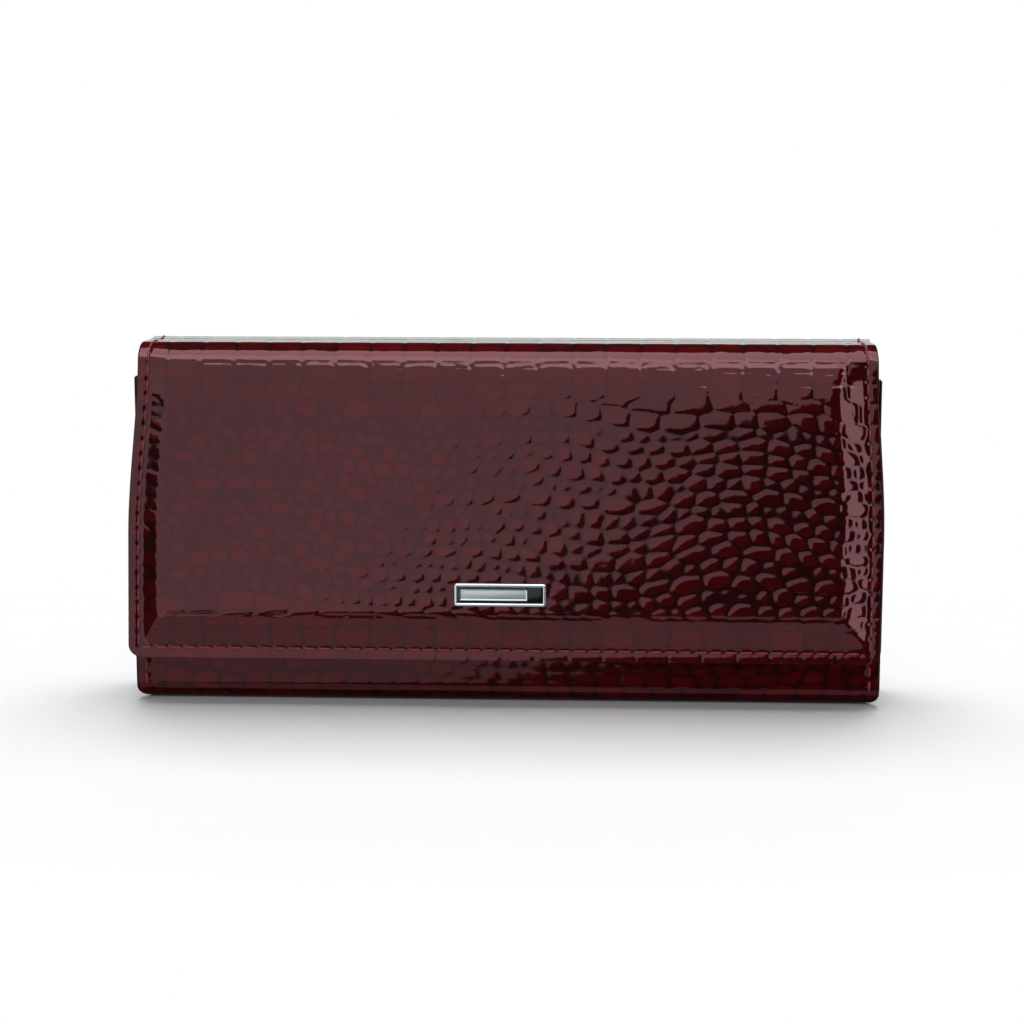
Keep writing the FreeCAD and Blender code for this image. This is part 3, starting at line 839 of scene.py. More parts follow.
# %% [markdown]
# ## Lofted solids
#
# The plaque, the slider, the pull and the tabs are small solids with soft edges. Each is
# described by a stack of closed loops with the same number of points, joined one to the
# next. A stack that ends in a cap is a solid. A stack whose last loop joins the first is a
# frame with a hole in it.

# %% Loft helpers
def rounded_loop(width, height, radius, steps=6):
    """A rounded rectangle round the origin, as points (u, v), counterclockwise."""
    corner = np.linspace(0, QUARTER, steps)
    loops = []
    for k, (sx, sy) in enumerate(((1, 1), (-1, 1), (-1, -1), (1, -1))):
        angle = corner + k * QUARTER
        u = sx * (width / 2 - radius) + radius * np.cos(angle)
        v = sy * (height / 2 - radius) + radius * np.sin(angle)
        loops.append(np.stack([u, v], axis=1))
    return np.concatenate(loops)


def lofted(name, loops, ring=False):
    """A solid from a stack of loops, each an array of points in millimetres."""
    count = len(loops[0])
    index = np.arange(count * len(loops)).reshape(len(loops), count)
    nxt = np.roll(index, -1, axis=0) if ring else index[1:]
    low = index if ring else index[:-1]
    quads = np.stack([low, np.roll(low, -1, axis=1), np.roll(nxt, -1, axis=1), nxt], axis=-1)
    faces = quads.reshape(-1, 4).tolist()
    if not ring:
        faces += [index[0, ::-1].tolist(), index[-1].tolist()]
    return new_mesh(name, np.concatenate(loops), faces)


def upright(loop, centre_x, centre_z, y):
    """A (u, v) loop stood up in the XZ plane at y."""
    level = np.full(len(loop), y)
    return np.stack([loop[:, 0] + centre_x, level, loop[:, 1] + centre_z], axis=1)


def lying(loop, centre_x, centre_y, z):
    """A (u, v) loop laid in the XY plane at z."""
    level = np.full(len(loop), z)
    return np.stack([loop[:, 0] + centre_x, loop[:, 1] + centre_y, level], axis=1)


def turned(name, profile, centre_x, centre_z, sides=48):
    """A piece turned round an axis along Y from (radius, y) pairs."""
    angle = np.linspace(0, 2 * math.pi, sides + 1)[:-1]
    loops = []
    for radius, y in profile:
        circle = np.stack([np.cos(angle), np.sin(angle)], axis=1) * max(radius, 0.001)
        loops.append(upright(circle, centre_x, centre_z, y))
    return lofted(name, loops)


def sharp(piece, degrees=38):
    """Keep edges sharper than an angle crisp."""
    piece.data.shade_smooth()
    piece.data.set_sharp_from_angle(angle=math.radians(degrees))


# %% The plaque
plaque_low, plaque_high = box_mm("plaque_frame")
plaque_x = float(plaque_low[0] + plaque_high[0]) / 2
plaque_z = float(plaque_low[2] + plaque_high[2]) / 2
plaque_w = float(plaque_high[0] - plaque_low[0])
plaque_h = float(plaque_high[2] - plaque_low[2])
plaque_y = float(plaque_low[1])
PLAQUE_RIM = 0.8


def plaque_loops(steps):
    """Loops of the plaque from (inset, depth behind its front) pairs."""
    loops = []
    for inset, depth in steps:
        corner = max(0.75 - inset, 0.12)
        loop = rounded_loop(plaque_w - 2 * inset, plaque_h - 2 * inset, corner)
        loops.append(upright(loop, plaque_x, plaque_z, plaque_y + depth))
    return loops


plaque_frame = lofted("plaque_rim", plaque_loops([
    (0.0, 1.25), (0.0, 0.22), (0.06, 0.08), (0.20, 0.0), (PLAQUE_RIM - 0.20, 0.0),
    (PLAQUE_RIM - 0.07, 0.06), (PLAQUE_RIM, 0.20), (PLAQUE_RIM, 1.25),
]), ring=True)
sharp(plaque_frame, 50)
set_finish(plaque_frame, "chrome")
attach(plaque_frame, "flap")
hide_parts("plaque_frame")

plaque_enamel = lofted("plaque_dark_enamel", plaque_loops([
    (PLAQUE_RIM - 0.02, 1.2), (PLAQUE_RIM - 0.02, 0.52), (PLAQUE_RIM + 0.10, 0.46),
    (PLAQUE_RIM + 0.45, 0.44),
]))
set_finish(plaque_enamel, "enamel")
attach(plaque_enamel, "flap")
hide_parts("plaque_enamel")

bar_low, bar_high = box_mm("plaque_bar")
BAR_RIM = 0.34


def bar_loops(steps):
    """Loops of the satin bar from (inset, depth) pairs."""
    width, height = float(bar_high[0] - bar_low[0]), float(bar_high[2] - bar_low[2])
    centre_x = float(bar_low[0] + bar_high[0]) / 2
    centre_z = float(bar_low[2] + bar_high[2]) / 2
    loops = []
    for inset, depth in steps:
        loop = rounded_loop(width - 2 * inset, height - 2 * inset, max(0.2 - inset, 0.05))
        loops.append(upright(loop, centre_x, centre_z, plaque_y + depth))
    return loops


bar_edge = lofted("plaque_bar_edge", bar_loops([
    (0.0, 0.60), (0.0, 0.26), (0.05, 0.20), (BAR_RIM - 0.04, 0.20), (BAR_RIM, 0.24),
    (BAR_RIM, 0.60),
]), ring=True)
sharp(bar_edge, 50)
bar_face = lofted("plaque_bar_face", bar_loops([
    (BAR_RIM - 0.02, 0.58), (BAR_RIM - 0.02, 0.30), (BAR_RIM + 0.03, 0.27),
]))
for piece, slot in ((bar_edge, "chrome"), (bar_face, "satin_metal")):
    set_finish(piece, slot)
    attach(piece, "flap")
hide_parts("plaque_bar")

# %% [markdown]
# ## Padding and linings
#
# Between the skin and the lining the flap holds a foam pad that gives it its slope. The
# linings follow the skin at an even distance, so they are made from the same section lines.

# %% The foam pad of the flap
PAD_SPACING = 1.6


def make_padding():
    """The foam under the flap's skin: its front follows the padding, its back is flat."""
    s = np.linspace(SEAM_HALF + 0.8, FLAP_STRAIGHT - 1.5, int(FLAP_STRAIGHT / PAD_SPACING))
    half = flap_width(s) - SEAM_HALF - 0.8
    x_unit = across(float(half.max()), PAD_SPACING)
    x = x_unit[None, :] * half[:, None]
    height = padding(x, np.repeat(s[:, None], len(x_unit), axis=1)) - LEATHER - 0.05
    shift = flap_shift(s)
    height = np.maximum(height, -LEATHER + 0.05)
    front = skin_grid(flap_line, s, half, 0, height, x_unit, shift)
    back = skin_grid(flap_line, s, half, 0, 0 * height - LEATHER, x_unit, shift)
    return closed_sheet("flap_padding", front, back, 0.05, 1, True)[0]


flap_padding = make_padding()
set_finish(flap_padding, "foam")
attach(flap_padding, "flap")
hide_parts("flap_foam")


# %% Linings
LINING_HALF = 0.2


def make_lining(name, line, s, half, depth, shift=0.0):
    """A lining at depth behind the skin's face, as a closed thin sheet with soft ripples."""
    x_unit = across(float(half.max()), 2.0)
    x = x_unit[None, :] * half[:, None]
    ripple = 0.05 * np.sin(x / 9.0 + s[:, None] / 6.0) * np.sin(s[:, None] / 11.0 - x / 23.0)
    level = -depth[:, None] + ripple
    shift = np.broadcast_to(shift, s.shape)
    outer = skin_grid(line, s, half, 0, level + LINING_HALF, x_unit, shift)
    inner = skin_grid(line, s, half, 0, level - LINING_HALF, x_unit, shift)
    return closed_sheet(name, outer, inner, 0.2, 1, True)[0]


def even(first, last, spacing=1.6):
    """Lengths from first to last, about spacing apart."""
    return np.linspace(first, last, max(int((last - first) / spacing), 3))


lining_s = even(1.0, FLAP_LENGTH)
lining_depth = 2.0 - 0.6 * smoothstep((lining_s - FLAP_STRAIGHT + 4.0) / 5.0)
lining_half = flap_half(lining_s) - 0.7 - 1.3 * smoothstep((lining_s - FLAP_STRAIGHT) / 4.0)
flap_lining = make_lining(
    "flap_lining_cloth", flap_line, lining_s, lining_half, lining_depth, flap_shift(lining_s)
)
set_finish(flap_lining, "lining")
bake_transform(flap_lining)
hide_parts("flap_lining", "spine_lining")

inside_s = even(0.0, BACK_LENGTH)
inside_depth = 1.4 + 1.0 * smoothstep((inside_s - BACK_STRAIGHT_START + 3.0) / 6.0)
inside_depth -= smoothstep((inside_s - BACK_STRAIGHT_END) / 6.0)
back_lining = make_lining(
    "back_lining_cloth", back_line, inside_s, back_half(inside_s) - 1.1, inside_depth
)
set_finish(back_lining, "lining")
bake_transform(back_lining)
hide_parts("back_lining", "floor_lining", "spine_lining")

panel_s = even(0.0, FRONT_LENGTH - 0.6)
panel_depth = 1.4 + 0.6 * smoothstep((panel_s - FRONT_STRAIGHT_START + 5.0) / 6.0)
front_lining = make_lining(
    "front_lining_cloth", front_line, panel_s, front_half(panel_s) - 0.8, panel_depth
)
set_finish(front_lining, "lining")
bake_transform(front_lining)
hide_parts("front_lining", "floor_lining")

# %% [markdown]
# ## Gussets and the coin pocket
#
# Each end of the wallet is closed by an accordion: a leather strip that zigzags from the
# front panel past the coin pocket to the back. Its folds are round, and its upper edge dips
# a little in each fold, where the leather is drawn in.

# %% The gussets
def smooth_path(points, spacing=0.35, rounds=3):
    """A polyline with its corners cut (Chaikin) a few times, then evened out in spacing."""
    line = np.array(points, float)
    for _ in range(rounds):
        a, b = line[:-1], line[1:]
        middle = np.stack([a * 0.75 + b * 0.25, a * 0.25 + b * 0.75], axis=1).reshape(-1, 2)
        line = np.concatenate([line[:1], middle, line[-1:]])
    length = np.concatenate([[0], np.cumsum(np.linalg.norm(np.diff(line, axis=0), axis=1))])
    even_length = np.linspace(0, length[-1], int(length[-1] / spacing) + 1)
    return np.stack([np.interp(even_length, length, line[:, k]) for k in (0, 1)], axis=1)


FRONT_INNER = FRONT_FACE + 2.2
BACK_INNER = BACK_FACE - 2.6
coin_low, coin_high = box_mm("coin_pocket_front")
_, coin_back_high = box_mm("coin_pocket_back")
COIN_FRONT, COIN_BACK = float(coin_low[1]), float(coin_back_high[1])
COIN_MID = (COIN_FRONT + COIN_BACK) / 2
COIN_TOP = float(coin_high[2])
GUSSET_HALF = 0.3
gusset_low, gusset_high = box_mm("gusset_right")


def make_gusset(name, side):
    """One accordion end: the zigzag carried up, thickened both ways by half the leather."""
    outer_x = float(gusset_high[0]) - GUSSET_HALF
    ridge_x, fold_x = outer_x - 1.8, float(gusset_low[0]) + GUSSET_HALF
    path = smooth_path([
        (outer_x, FRONT_INNER + 0.35), (outer_x - 1.0, FRONT_INNER + 0.9),
        (fold_x, (FRONT_INNER + COIN_FRONT) / 2 + 0.1), (ridge_x, COIN_FRONT - 0.25),
        (ridge_x + 0.1, COIN_MID), (ridge_x, COIN_BACK + 0.25),
        (fold_x, (COIN_BACK + BACK_INNER) / 2 - 0.1), (outer_x - 1.0, BACK_INNER - 0.9),
        (outer_x, BACK_INNER - 0.35),
    ])
    along = np.gradient(path, axis=0)
    along /= np.linalg.norm(along, axis=1)[:, None]
    square = np.stack([along[:, 1], -along[:, 0]], axis=1)
    low, high = float(gusset_low[2]), float(gusset_high[2])
    dip = 2.6 * (outer_x - path[:, 0]) / (outer_x - fold_x)
    rise = np.linspace(0, 1, 40)[:, None]
    z = low + (high - dip[None, :] - low) * rise
    faces = []
    for sign in (1, -1):
        moved = path + square * GUSSET_HALF * sign
        x = np.broadcast_to(side * moved[None, :, 0], z.shape)
        y = np.broadcast_to(moved[None, :, 1], z.shape)
        faces.append(np.stack([x, y, z], axis=2))
    piece, _ = closed_sheet(name, faces[0], faces[1], 0.2, 1, True)
    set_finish(piece, "gusset_leather")
    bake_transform(piece)
    return piece


gusset_left = make_gusset("left_gusset", -1)
gusset_right = make_gusset("right_gusset", 1)
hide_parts("gusset_left")
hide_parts("gusset_right")


# %% The coin pocket's cloth and its zipper tapes
def extruded_sheet(name, line, first, last, half, thickness, columns=60, wave=0.0):
    """A sheet whose section in YZ is given and that runs straight along X."""
    s = even(first, last, 1.5)
    y, z, ny, nz = follow(line, s)
    x = np.linspace(-half, half, columns)
    faces = []
    for sign in (1, -1):
        bend = wave * np.sin(x[None, :] / 15.0 + s[:, None] / 9.0) + sign * thickness / 2
        faces.append(np.stack([
            np.broadcast_to(x[None, :], bend.shape),
            y[:, None] + ny[:, None] * bend,
            z[:, None] + nz[:, None] * bend,
        ], axis=2))
    return closed_sheet(name, faces[0], faces[1], 0.2, 1, True)[0]


WALL = 0.5
coin_radius = (COIN_BACK - COIN_FRONT - WALL) / 2
coin_bottom = float(coin_low[2]) + WALL / 2 + coin_radius
coin_line = section([
    ("line", (COIN_MID - coin_radius, COIN_TOP), (COIN_MID - coin_radius, coin_bottom)),
    ("arc", (COIN_MID, coin_bottom), coin_radius, 2 * QUARTER, 4 * QUARTER),
    ("line", (COIN_MID + coin_radius, coin_bottom), (COIN_MID + coin_radius, COIN_TOP)),
])
coin_bag = extruded_sheet(
    "coin_pocket_cloth", coin_line, 0, float(coin_line[0][-1]), float(coin_high[0]), WALL
)
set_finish(coin_bag, "lining")
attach(coin_bag, "case")
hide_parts("coin_pocket_front", "coin_pocket_back", "coin_pocket_floor")

for side, name in ((-1, "front"), (1, "back")):
    low, high = box_mm("zipper_tape_" + name)
    foot_y = COIN_MID + side * coin_radius
    head_y = float(high[1]) - 0.2 if side < 0 else float(low[1]) + 0.2
    tape_line = section([
        ("line", (foot_y, float(low[2]) - 0.1), (foot_y - side * 0.15, float(low[2]) + 2.2)),
        ("line", (foot_y - side * 0.15, float(low[2]) + 2.2), (head_y, float(high[2]) - 0.05)),
    ])
    tape = extruded_sheet(
        "zipper_tape_cloth_" + name, tape_line, 0, float(tape_line[0][-1]), float(high[0]), 0.4
    )
    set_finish(tape, "tape")
    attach(tape, "tape_" + name)
    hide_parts("zipper_tape_" + name)


# %% [markdown]
# ## Zipper teeth, slider and pull
#
# Each tooth is a small cast block that grips the tape with its root and has a rounded head
# with a step. The two rows are half a pitch apart, so the heads mesh.

# %% Teeth
TOOTH_PITCH = 3.0


def make_teeth(name, node, side, first_x):
    """A row of teeth as one mesh: every tooth is six loops along its reach."""
    low, high = box_mm(node)
    z_mid, half_z = float(low[2] + high[2]) / 2, float(high[2] - low[2]) / 2
    root = float(low[1]) if side < 0 else float(high[1])
    tip = float(high[1]) if side < 0 else float(low[1])
    stations = np.array([0.0, 0.10, 0.42, 0.62, 0.88, 1.0])
    widths = np.array([0.95, 1.05, 0.80, 1.15, 1.10, 0.55]) / 2
    heights = half_z * np.array([0.75, 0.95, 0.70, 0.95, 0.85, 0.45])
    loop = rounded_loop(2, 2, 0.6, 3)
    count = int((high[0] - low[0]) / TOOTH_PITCH)
    centres = first_x + np.arange(count) * TOOTH_PITCH
    y = root + (tip - root) * stations
    ring = np.stack([
        loop[None, :, 0] * widths[:, None],
        np.broadcast_to(y[:, None], (len(y), len(loop))),
        loop[None, :, 1] * heights[:, None] + z_mid,
    ], axis=2)
    points = ring[None] + np.stack([centres, 0 * centres, 0 * centres], 1)[:, None, None, :]
    index = np.arange(count * len(y) * len(loop)).reshape(count, len(y), len(loop))
    turned_index = np.roll(index, -1, axis=2)
    quads = np.stack(
        [index[:, :-1], turned_index[:, :-1], turned_index[:, 1:], index[:, 1:]], axis=-1
    )
    faces = quads.reshape(-1, 4).tolist() + index[:, 0, ::-1].tolist() + index[:, -1].tolist()
    piece = new_mesh(name, points.reshape(-1, 3), faces)
    sharp(piece, 40)
    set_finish(piece, "zip_metal")
    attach(piece, "tape_front" if side < 0 else "tape_back")
    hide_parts(node)
    return piece


teeth_low, _ = box_mm("zipper_teeth_front")
first_tooth = float(teeth_low[0]) + 0.9
make_teeth("zip_teeth_front", "zipper_teeth_front", -1, first_tooth)
make_teeth("zip_teeth_back", "zipper_teeth_back", 1, first_tooth + TOOTH_PITCH / 2)


# %% Slider and pull
def tube(name, path, radius, sides=12):
    """A round bar along a path in the XZ plane at one y, with closed ends."""
    path = np.asarray(path, float)
    along = np.gradient(path, axis=0)
    along /= np.linalg.norm(along, axis=1)[:, None]
    square = np.stack([-along[:, 2], 0 * along[:, 0], along[:, 0]], axis=1)
    angle = np.linspace(0, 2 * math.pi, sides + 1)[:-1]
    sideways = np.array([0.0, 1.0, 0.0])
    loops = []
    for place, out in zip(path, square):
        circle = np.cos(angle)[:, None] * out[None, :] + np.sin(angle)[:, None] * sideways
        loops.append(place + circle * radius)
    return lofted(name, loops)


slider_low, slider_high = box_mm("zipper_slider")
slider_x = float(slider_low[0] + slider_high[0]) / 2
slider_y = float(slider_low[1] + slider_high[1]) / 2
slider_w = float(slider_high[0] - slider_low[0])
slider_d = float(slider_high[1] - slider_low[1])
plate_z = float(slider_low[2])
plate_steps = ((0.35, 0.0), (0.08, 0.1), (0.0, 0.35), (0.0, 0.85), (0.10, 1.12), (0.40, 1.3))
plate_loops = []
for inset, rise in plate_steps:
    loop = rounded_loop(slider_w - 2 * inset, slider_d - 2 * inset, 1.9 - inset, 8)
    waist = 1 - 0.16 * np.exp(-((loop[:, 0:1] + 1.2) / 1.4) ** 2)
    loop = np.concatenate([loop[:, 0:1], loop[:, 1:2] * waist], axis=1)
    plate_loops.append(lying(loop, slider_x, slider_y, plate_z + rise))
slider_plate = lofted("zip_slider_body", plate_loops)
bail_angle = np.linspace(0, math.pi, 13)
bail_path = np.stack([
    slider_x - 2.25 * np.cos(bail_angle),
    np.full(13, slider_y),
    plate_z + 1.15 + (float(slider_high[2]) - plate_z - 1.55) * np.sin(bail_angle) ** 0.55,
], axis=1)
slider_bail = tube("zip_slider_bail", bail_path, 0.40)
for piece in (slider_plate, slider_bail):
    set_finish(piece, "zip_metal")
    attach(piece, "slider")
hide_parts("zipper_slider")

pull_low, pull_high = box_mm("zipper_pull")
pull_y = float(pull_low[1] + pull_high[1]) / 2
pull_z = float(pull_low[2] + pull_high[2]) / 2
pull_w = float(pull_high[1] - pull_low[1])


def tab_loops(steps):
    """Loops of the pull's tab or its window, from (inset, height, is it the window)."""
    loops = []
    length = float(pull_high[0] - pull_low[0])
    centre = float(pull_low[0] + pull_high[0]) / 2
    for inset, height, window in steps:
        if window:
            loop = rounded_loop(3.3 + 2 * inset, pull_w - 1.5 + 2 * inset, 0.55, 7)
            loops.append(lying(loop, float(pull_low[0]) + 2.6, pull_y, pull_z + height))
        else:
            loop = rounded_loop(length - 2 * inset, pull_w - 2 * inset, 1.3 - inset, 7)
            loops.append(lying(loop, centre, pull_y, pull_z + height))
    return loops


pull_tab = lofted("zip_pull_tab", tab_loops([
    (0.12, -0.36, False), (0.0, -0.22, False), (0.0, 0.22, False), (0.12, 0.36, False),
    (0.12, 0.36, True), (0.0, 0.22, True), (0.0, -0.22, True), (0.12, -0.36, True),
]), ring=True)
sharp(pull_tab, 40)
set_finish(pull_tab, "zip_metal")
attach(pull_tab, "pull")
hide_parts("zipper_pull")

# %% [markdown]
# ## Small leather pieces and the snap
#
# Two folded tabs close the ends of the zipper. The snap is turned metal: a stud with a
# round head on the front panel, and a ring with a sunken floor on the flap's lining.

# %% Zipper end tabs
for side, name in ((-1, "left"), (1, "right")):
    node = "zipper_end_tab_" + name
    low, high = box_mm(node)
    centre = (low + high) / 2
    size = high - low
    loops = []
    for inset, rise in ((0.5, 0.0), (0.1, 0.25), (0.0, 0.9), (0.0, 0.97), (0.45, 1.0)):
        loop = rounded_loop(float(size[0]) - 2 * inset, float(size[1]) - 2 * inset, 0.9, 6)
        height = float(low[2]) + (float(size[2]) * rise if rise > 0.5 else rise)
        loops.append(lying(loop, float(centre[0]), float(centre[1]), height))
    tab = lofted("zip_end_" + name, loops)
    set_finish(tab, "gusset_leather")
    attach(tab, "case")
    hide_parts(node)

# %% Snap
socket_low, socket_high = box_mm("snap_socket")
stud_low, stud_high = box_mm("snap_stud")
snap_x = float(stud_low[0] + stud_high[0]) / 2
snap_z = float(stud_low[2] + stud_high[2]) / 2
face = float(stud_high[1])
front_end = float(stud_low[1])
snap_stud = turned("snap_stud_turned", [
    (0, face + 0.1), (4.1, face + 0.1), (4.2, face - 0.1), (4.05, face - 0.25),
    (3.2, face - 0.3), (1.75, face - 0.32), (1.7, face - 0.42), (2.2, front_end + 0.38),
    (2.3, front_end + 0.25), (2.15, front_end + 0.08), (1.7, front_end), (0, front_end),
], snap_x, snap_z)
sharp(snap_stud, 40)
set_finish(snap_stud, "snap_metal")
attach(snap_stud, "front_pocket")
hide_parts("snap_stud")

rear, nose = float(socket_low[1]), float(socket_high[1])
snap_socket = turned("snap_socket_turned", [
    (0, rear - 0.02), (5.0, rear - 0.02), (5.2, rear + 0.15), (5.15, rear + 0.35),
    (4.7, rear + 0.6), (4.2, nose - 0.05), (3.7, nose), (3.2, nose - 0.05), (3.0, nose - 0.2),
    (3.0, rear + 0.25), (2.6, rear + 0.2), (0, rear + 0.2),
], snap_x, snap_z)
sharp(snap_socket, 40)
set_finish(snap_socket, "snap_metal")
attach(snap_socket, "flap")
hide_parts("snap_socket")

# %% [markdown]
# ## Card pockets
#
# Four strips of thin leather lie on the flap's lining like roof tiles, mouths towards the
# free edge. Each mouth is a turned edge with a creased line beside it, and seams down the
# middle and at both ends make two columns of pockets.

# %% Card pocket strips
SLOT_THICKNESS = 0.45
SEAM_X = (-84.6, 0.0, 84.6)


def make_card_pocket(number):
    """One strip: it leans from its proud mouth back to its tucked edge."""
    low, high = box_mm("card_slot_%d" % number)
    z = np.concatenate([
        np.linspace(0, 2.4, 11), np.linspace(2.4, float(high[2] - low[2]), 14)[1:],
    ])
    z = z[: len(z) - (len(z) - 1) % 2]
    half = float(high[0])
    x = np.linspace(-half, half, 173)
    share = (z / z[-1])[:, None]
    grid_x = np.broadcast_to(x[None, :], (len(z), len(x)))
    grid_z = np.broadcast_to(z[:, None], grid_x.shape)
    turned_edge = 0.10 * (1 - smoothstep((grid_z - 1.3) / 0.5))
    crease = -0.07 * np.exp(-(((grid_z - 1.9) / 0.28) ** 2))
    seam = sum(-0.14 * np.exp(-(((grid_x - at) / 0.7) ** 2)) for at in SEAM_X)
    sag = -0.06 * np.cos(grid_x / half * math.pi * 2) * (1 - share)
    front_y = float(high[1]) - 0.12 - (float(high[1] - low[1]) - SLOT_THICKNESS - 0.14) * share
    outer_y = front_y + turned_edge + crease + seam + sag * 0.5
    inner_y = front_y - SLOT_THICKNESS + 0.12
    height = grid_z + float(low[2])
    outer = np.stack([grid_x, outer_y, height], axis=2)
    inner = np.stack([grid_x, np.broadcast_to(inner_y, grid_x.shape), height], axis=2)
    piece, _ = closed_sheet("card_pocket_%d" % number, outer, inner, 0.15, 1, True)
    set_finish(piece, "slot_leather")
    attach(piece, "flap")
    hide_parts("card_slot_%d" % number)
    return piece


POCKETS = (1, 2, 3, 4)
for number in POCKETS:
    make_card_pocket(number)


def pocket_path(at, number):
    """A path up one pocket strip's face at a seam."""
    low, high = box_mm("card_slot_%d" % number)
    reach = float(high[2] - low[2])
    drop = float(high[1] - low[1]) - SLOT_THICKNESS - 0.14

    def path(u):
        share = (u - float(low[2])) / reach
        y = float(high[1]) - 0.22 - drop * share
        place = np.stack([np.full(u.shape, at), y, u], axis=-1)
        return place, np.broadcast_to(np.array([0.0, 1.0, 0.0]), place.shape)
    return path


pocket_runs = []
for number in POCKETS:
    low, high = box_mm("card_slot_%d" % number)
    limit = float(high[2]) - (3.0 if number < 4 else 0.5)
    starts = np.arange(float(low[2]) + 0.6, limit - 2.6, 3.6)
    for at in SEAM_X:
        pocket_runs.append((pocket_path(at, number), starts))
pocket_thread = make_thread("pocket_thread", pocket_runs)
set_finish(pocket_thread, "thread")
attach(pocket_thread, "flap")

# %% [markdown]
# ## Patent leather
#
# Patent leather is a coloured hide under a thick clear lacquer. The lacquer fills the
# finest pores, so it mirrors the room sharply, and the relief of the scales is what breaks
# the mirror up. Dye wiped into the grooves makes them nearly black, and each scale takes
# the dye a little differently. One node group mixes the colours from the numbers stored on
# the skin and adds the faint ripple of the lacquer.

# %% Shader groups
def group_with(name, inputs, outputs):
    """A shader node group with named sockets: returns it with its input and output nodes."""
    group = bpy.data.node_groups.new(name, "ShaderNodeTree")
    for label, kind, value in inputs:
        socket = group.interface.new_socket(name=label, in_out="INPUT", socket_type=kind)
        if value is not None:
            socket.default_value = value
    for label, kind in outputs:
        group.interface.new_socket(name=label, in_out="OUTPUT", socket_type=kind)
    return group, group.nodes.new("NodeGroupInput"), group.nodes.new("NodeGroupOutput")


def maths(tree, operation, a, b=None, clamp=False):
    """One Math node; a and b are sockets or numbers."""
    node = tree.nodes.new("ShaderNodeMath")
    node.operation = operation
    node.use_clamp = clamp
    for index, value in enumerate((a, b)):
        if value is None:
            continue
        if isinstance(value, (int, float)):
            node.inputs[index].default_value = value
        else:
            tree.links.new(value, node.inputs[index])
    return node.outputs[0]


def mix_colour(tree, factor, a, b, blend="MIX"):
    """One colour Mix node; a and b are sockets or RGBA tuples."""
    node = tree.nodes.new("ShaderNodeMix")
    node.data_type = "RGBA"
    node.blend_type = blend
    for socket, value in ((node.inputs[0], factor), (node.inputs[6], a), (node.inputs[7], b)):
        if isinstance(value, (int, float, tuple)):
            socket.default_value = value
        else:
            tree.links.new(value, socket)
    return node.outputs[2]


def noise(tree, vector, scale, detail=3.0, roughness=0.5):
    """One Noise node's factor, read at vector."""
    node = tree.nodes.new("ShaderNodeTexNoise")
    node.inputs["Scale"].default_value = scale
    node.inputs["Detail"].default_value = detail
    node.inputs["Roughness"].default_value = roughness
    tree.links.new(vector, node.inputs["Vector"])
    return node.outputs["Fac"]


COLOUR = "NodeSocketColor"
NUMBER = "NodeSocketFloat"
VECTOR = "NodeSocketVector"


def make_patent_group():
    """Scale tops, dyed grooves, painted rims, and needle holes painted near black as shade,
    mixed into one finish.
    """
    group, inside, outside = group_with(
        "patent_emboss",
        [("Position", VECTOR, None), ("Groove", NUMBER, 0.0), ("Tone", NUMBER, 0.5),
         ("Hue", NUMBER, 0.5), ("Edge", NUMBER, 0.0), ("Hole", NUMBER, 0.0),
         ("Top Colour", COLOUR, (0.082, 0.0022, 0.0048, 1)),
         ("Warm Colour", COLOUR, (0.080, 0.0040, 0.0036, 1)),
         ("Groove Colour", COLOUR, (0.016, 0.0030, 0.0036, 1)),
         ("Edge Colour", COLOUR, (0.006, 0.002, 0.0025, 1))],
        [("Colour", COLOUR), ("Roughness", NUMBER), ("Height", NUMBER)],
    )
    place = inside.outputs["Position"]
    cloud = noise(group, place, 45.0, 2.0)
    dye = mix_colour(group, inside.outputs["Hue"], inside.outputs["Top Colour"],
                     inside.outputs["Warm Colour"])
    bright = maths(group, "MULTIPLY_ADD", inside.outputs["Tone"], 0.42)
    bright.node.inputs[2].default_value = 0.66
    bright = maths(group, "MULTIPLY", bright, maths(group, "ADD", cloud, 0.5))
    grey = group.nodes.new("ShaderNodeCombineColor")
    for index in range(3):
        group.links.new(bright, grey.inputs[index])
    tops = mix_colour(group, 1.0, dye, grey.outputs[0], "MULTIPLY")
    depth = maths(group, "MULTIPLY", inside.outputs["Groove"], 0.92, True)
    skin = mix_colour(group, depth, tops, inside.outputs["Groove Colour"])
    skin = mix_colour(group, inside.outputs["Edge"], skin, inside.outputs["Edge Colour"])
    # Painted shade: the needle holes are darkened to near black, for the shade inside each
    # hole.
    skin = mix_colour(group, maths(group, "MULTIPLY", inside.outputs["Hole"], 0.9, True), skin,
                      (0.004, 0.001, 0.002, 1))
    group.links.new(skin, outside.inputs["Colour"])
    pores = noise(group, place, 900.0, 2.0)
    rough = maths(group, "MULTIPLY_ADD", inside.outputs["Groove"], 0.05)
    rough.node.inputs[2].default_value = 0.03
    rough = maths(group, "ADD", rough, maths(group, "MULTIPLY", inside.outputs["Edge"], 0.16))
    rough = maths(group, "ADD", rough, maths(group, "MULTIPLY", pores, 0.05))
    group.links.new(rough, outside.inputs["Roughness"])
    ripple = noise(group, place, 330.0, 2.0)
    height = maths(group, "ADD", maths(group, "MULTIPLY", ripple, 0.6),
                   maths(group, "MULTIPLY", pores, 0.12))
    group.links.new(height, outside.inputs["Height"])
    return group


patent_group = make_patent_group()
print("groups:", [g.name for g in bpy.data.node_groups])


# %% The patent leather material
def new_material(name):
    """A material with an empty tree: returns it, its tree and its Principled shader."""
    material = bpy.data.materials.new(name)
    material.use_nodes = True
    tree = material.node_tree
    tree.nodes.clear()
    shader = tree.nodes.new("ShaderNodeBsdfPrincipled")
    output = tree.nodes.new("ShaderNodeOutputMaterial")
    tree.links.new(shader.outputs[0], output.inputs[0])
    return material, tree, shader


def object_place(tree):
    """The socket that gives a point's place on its object."""
    return tree.nodes.new("ShaderNodeTexCoord").outputs["Object"]


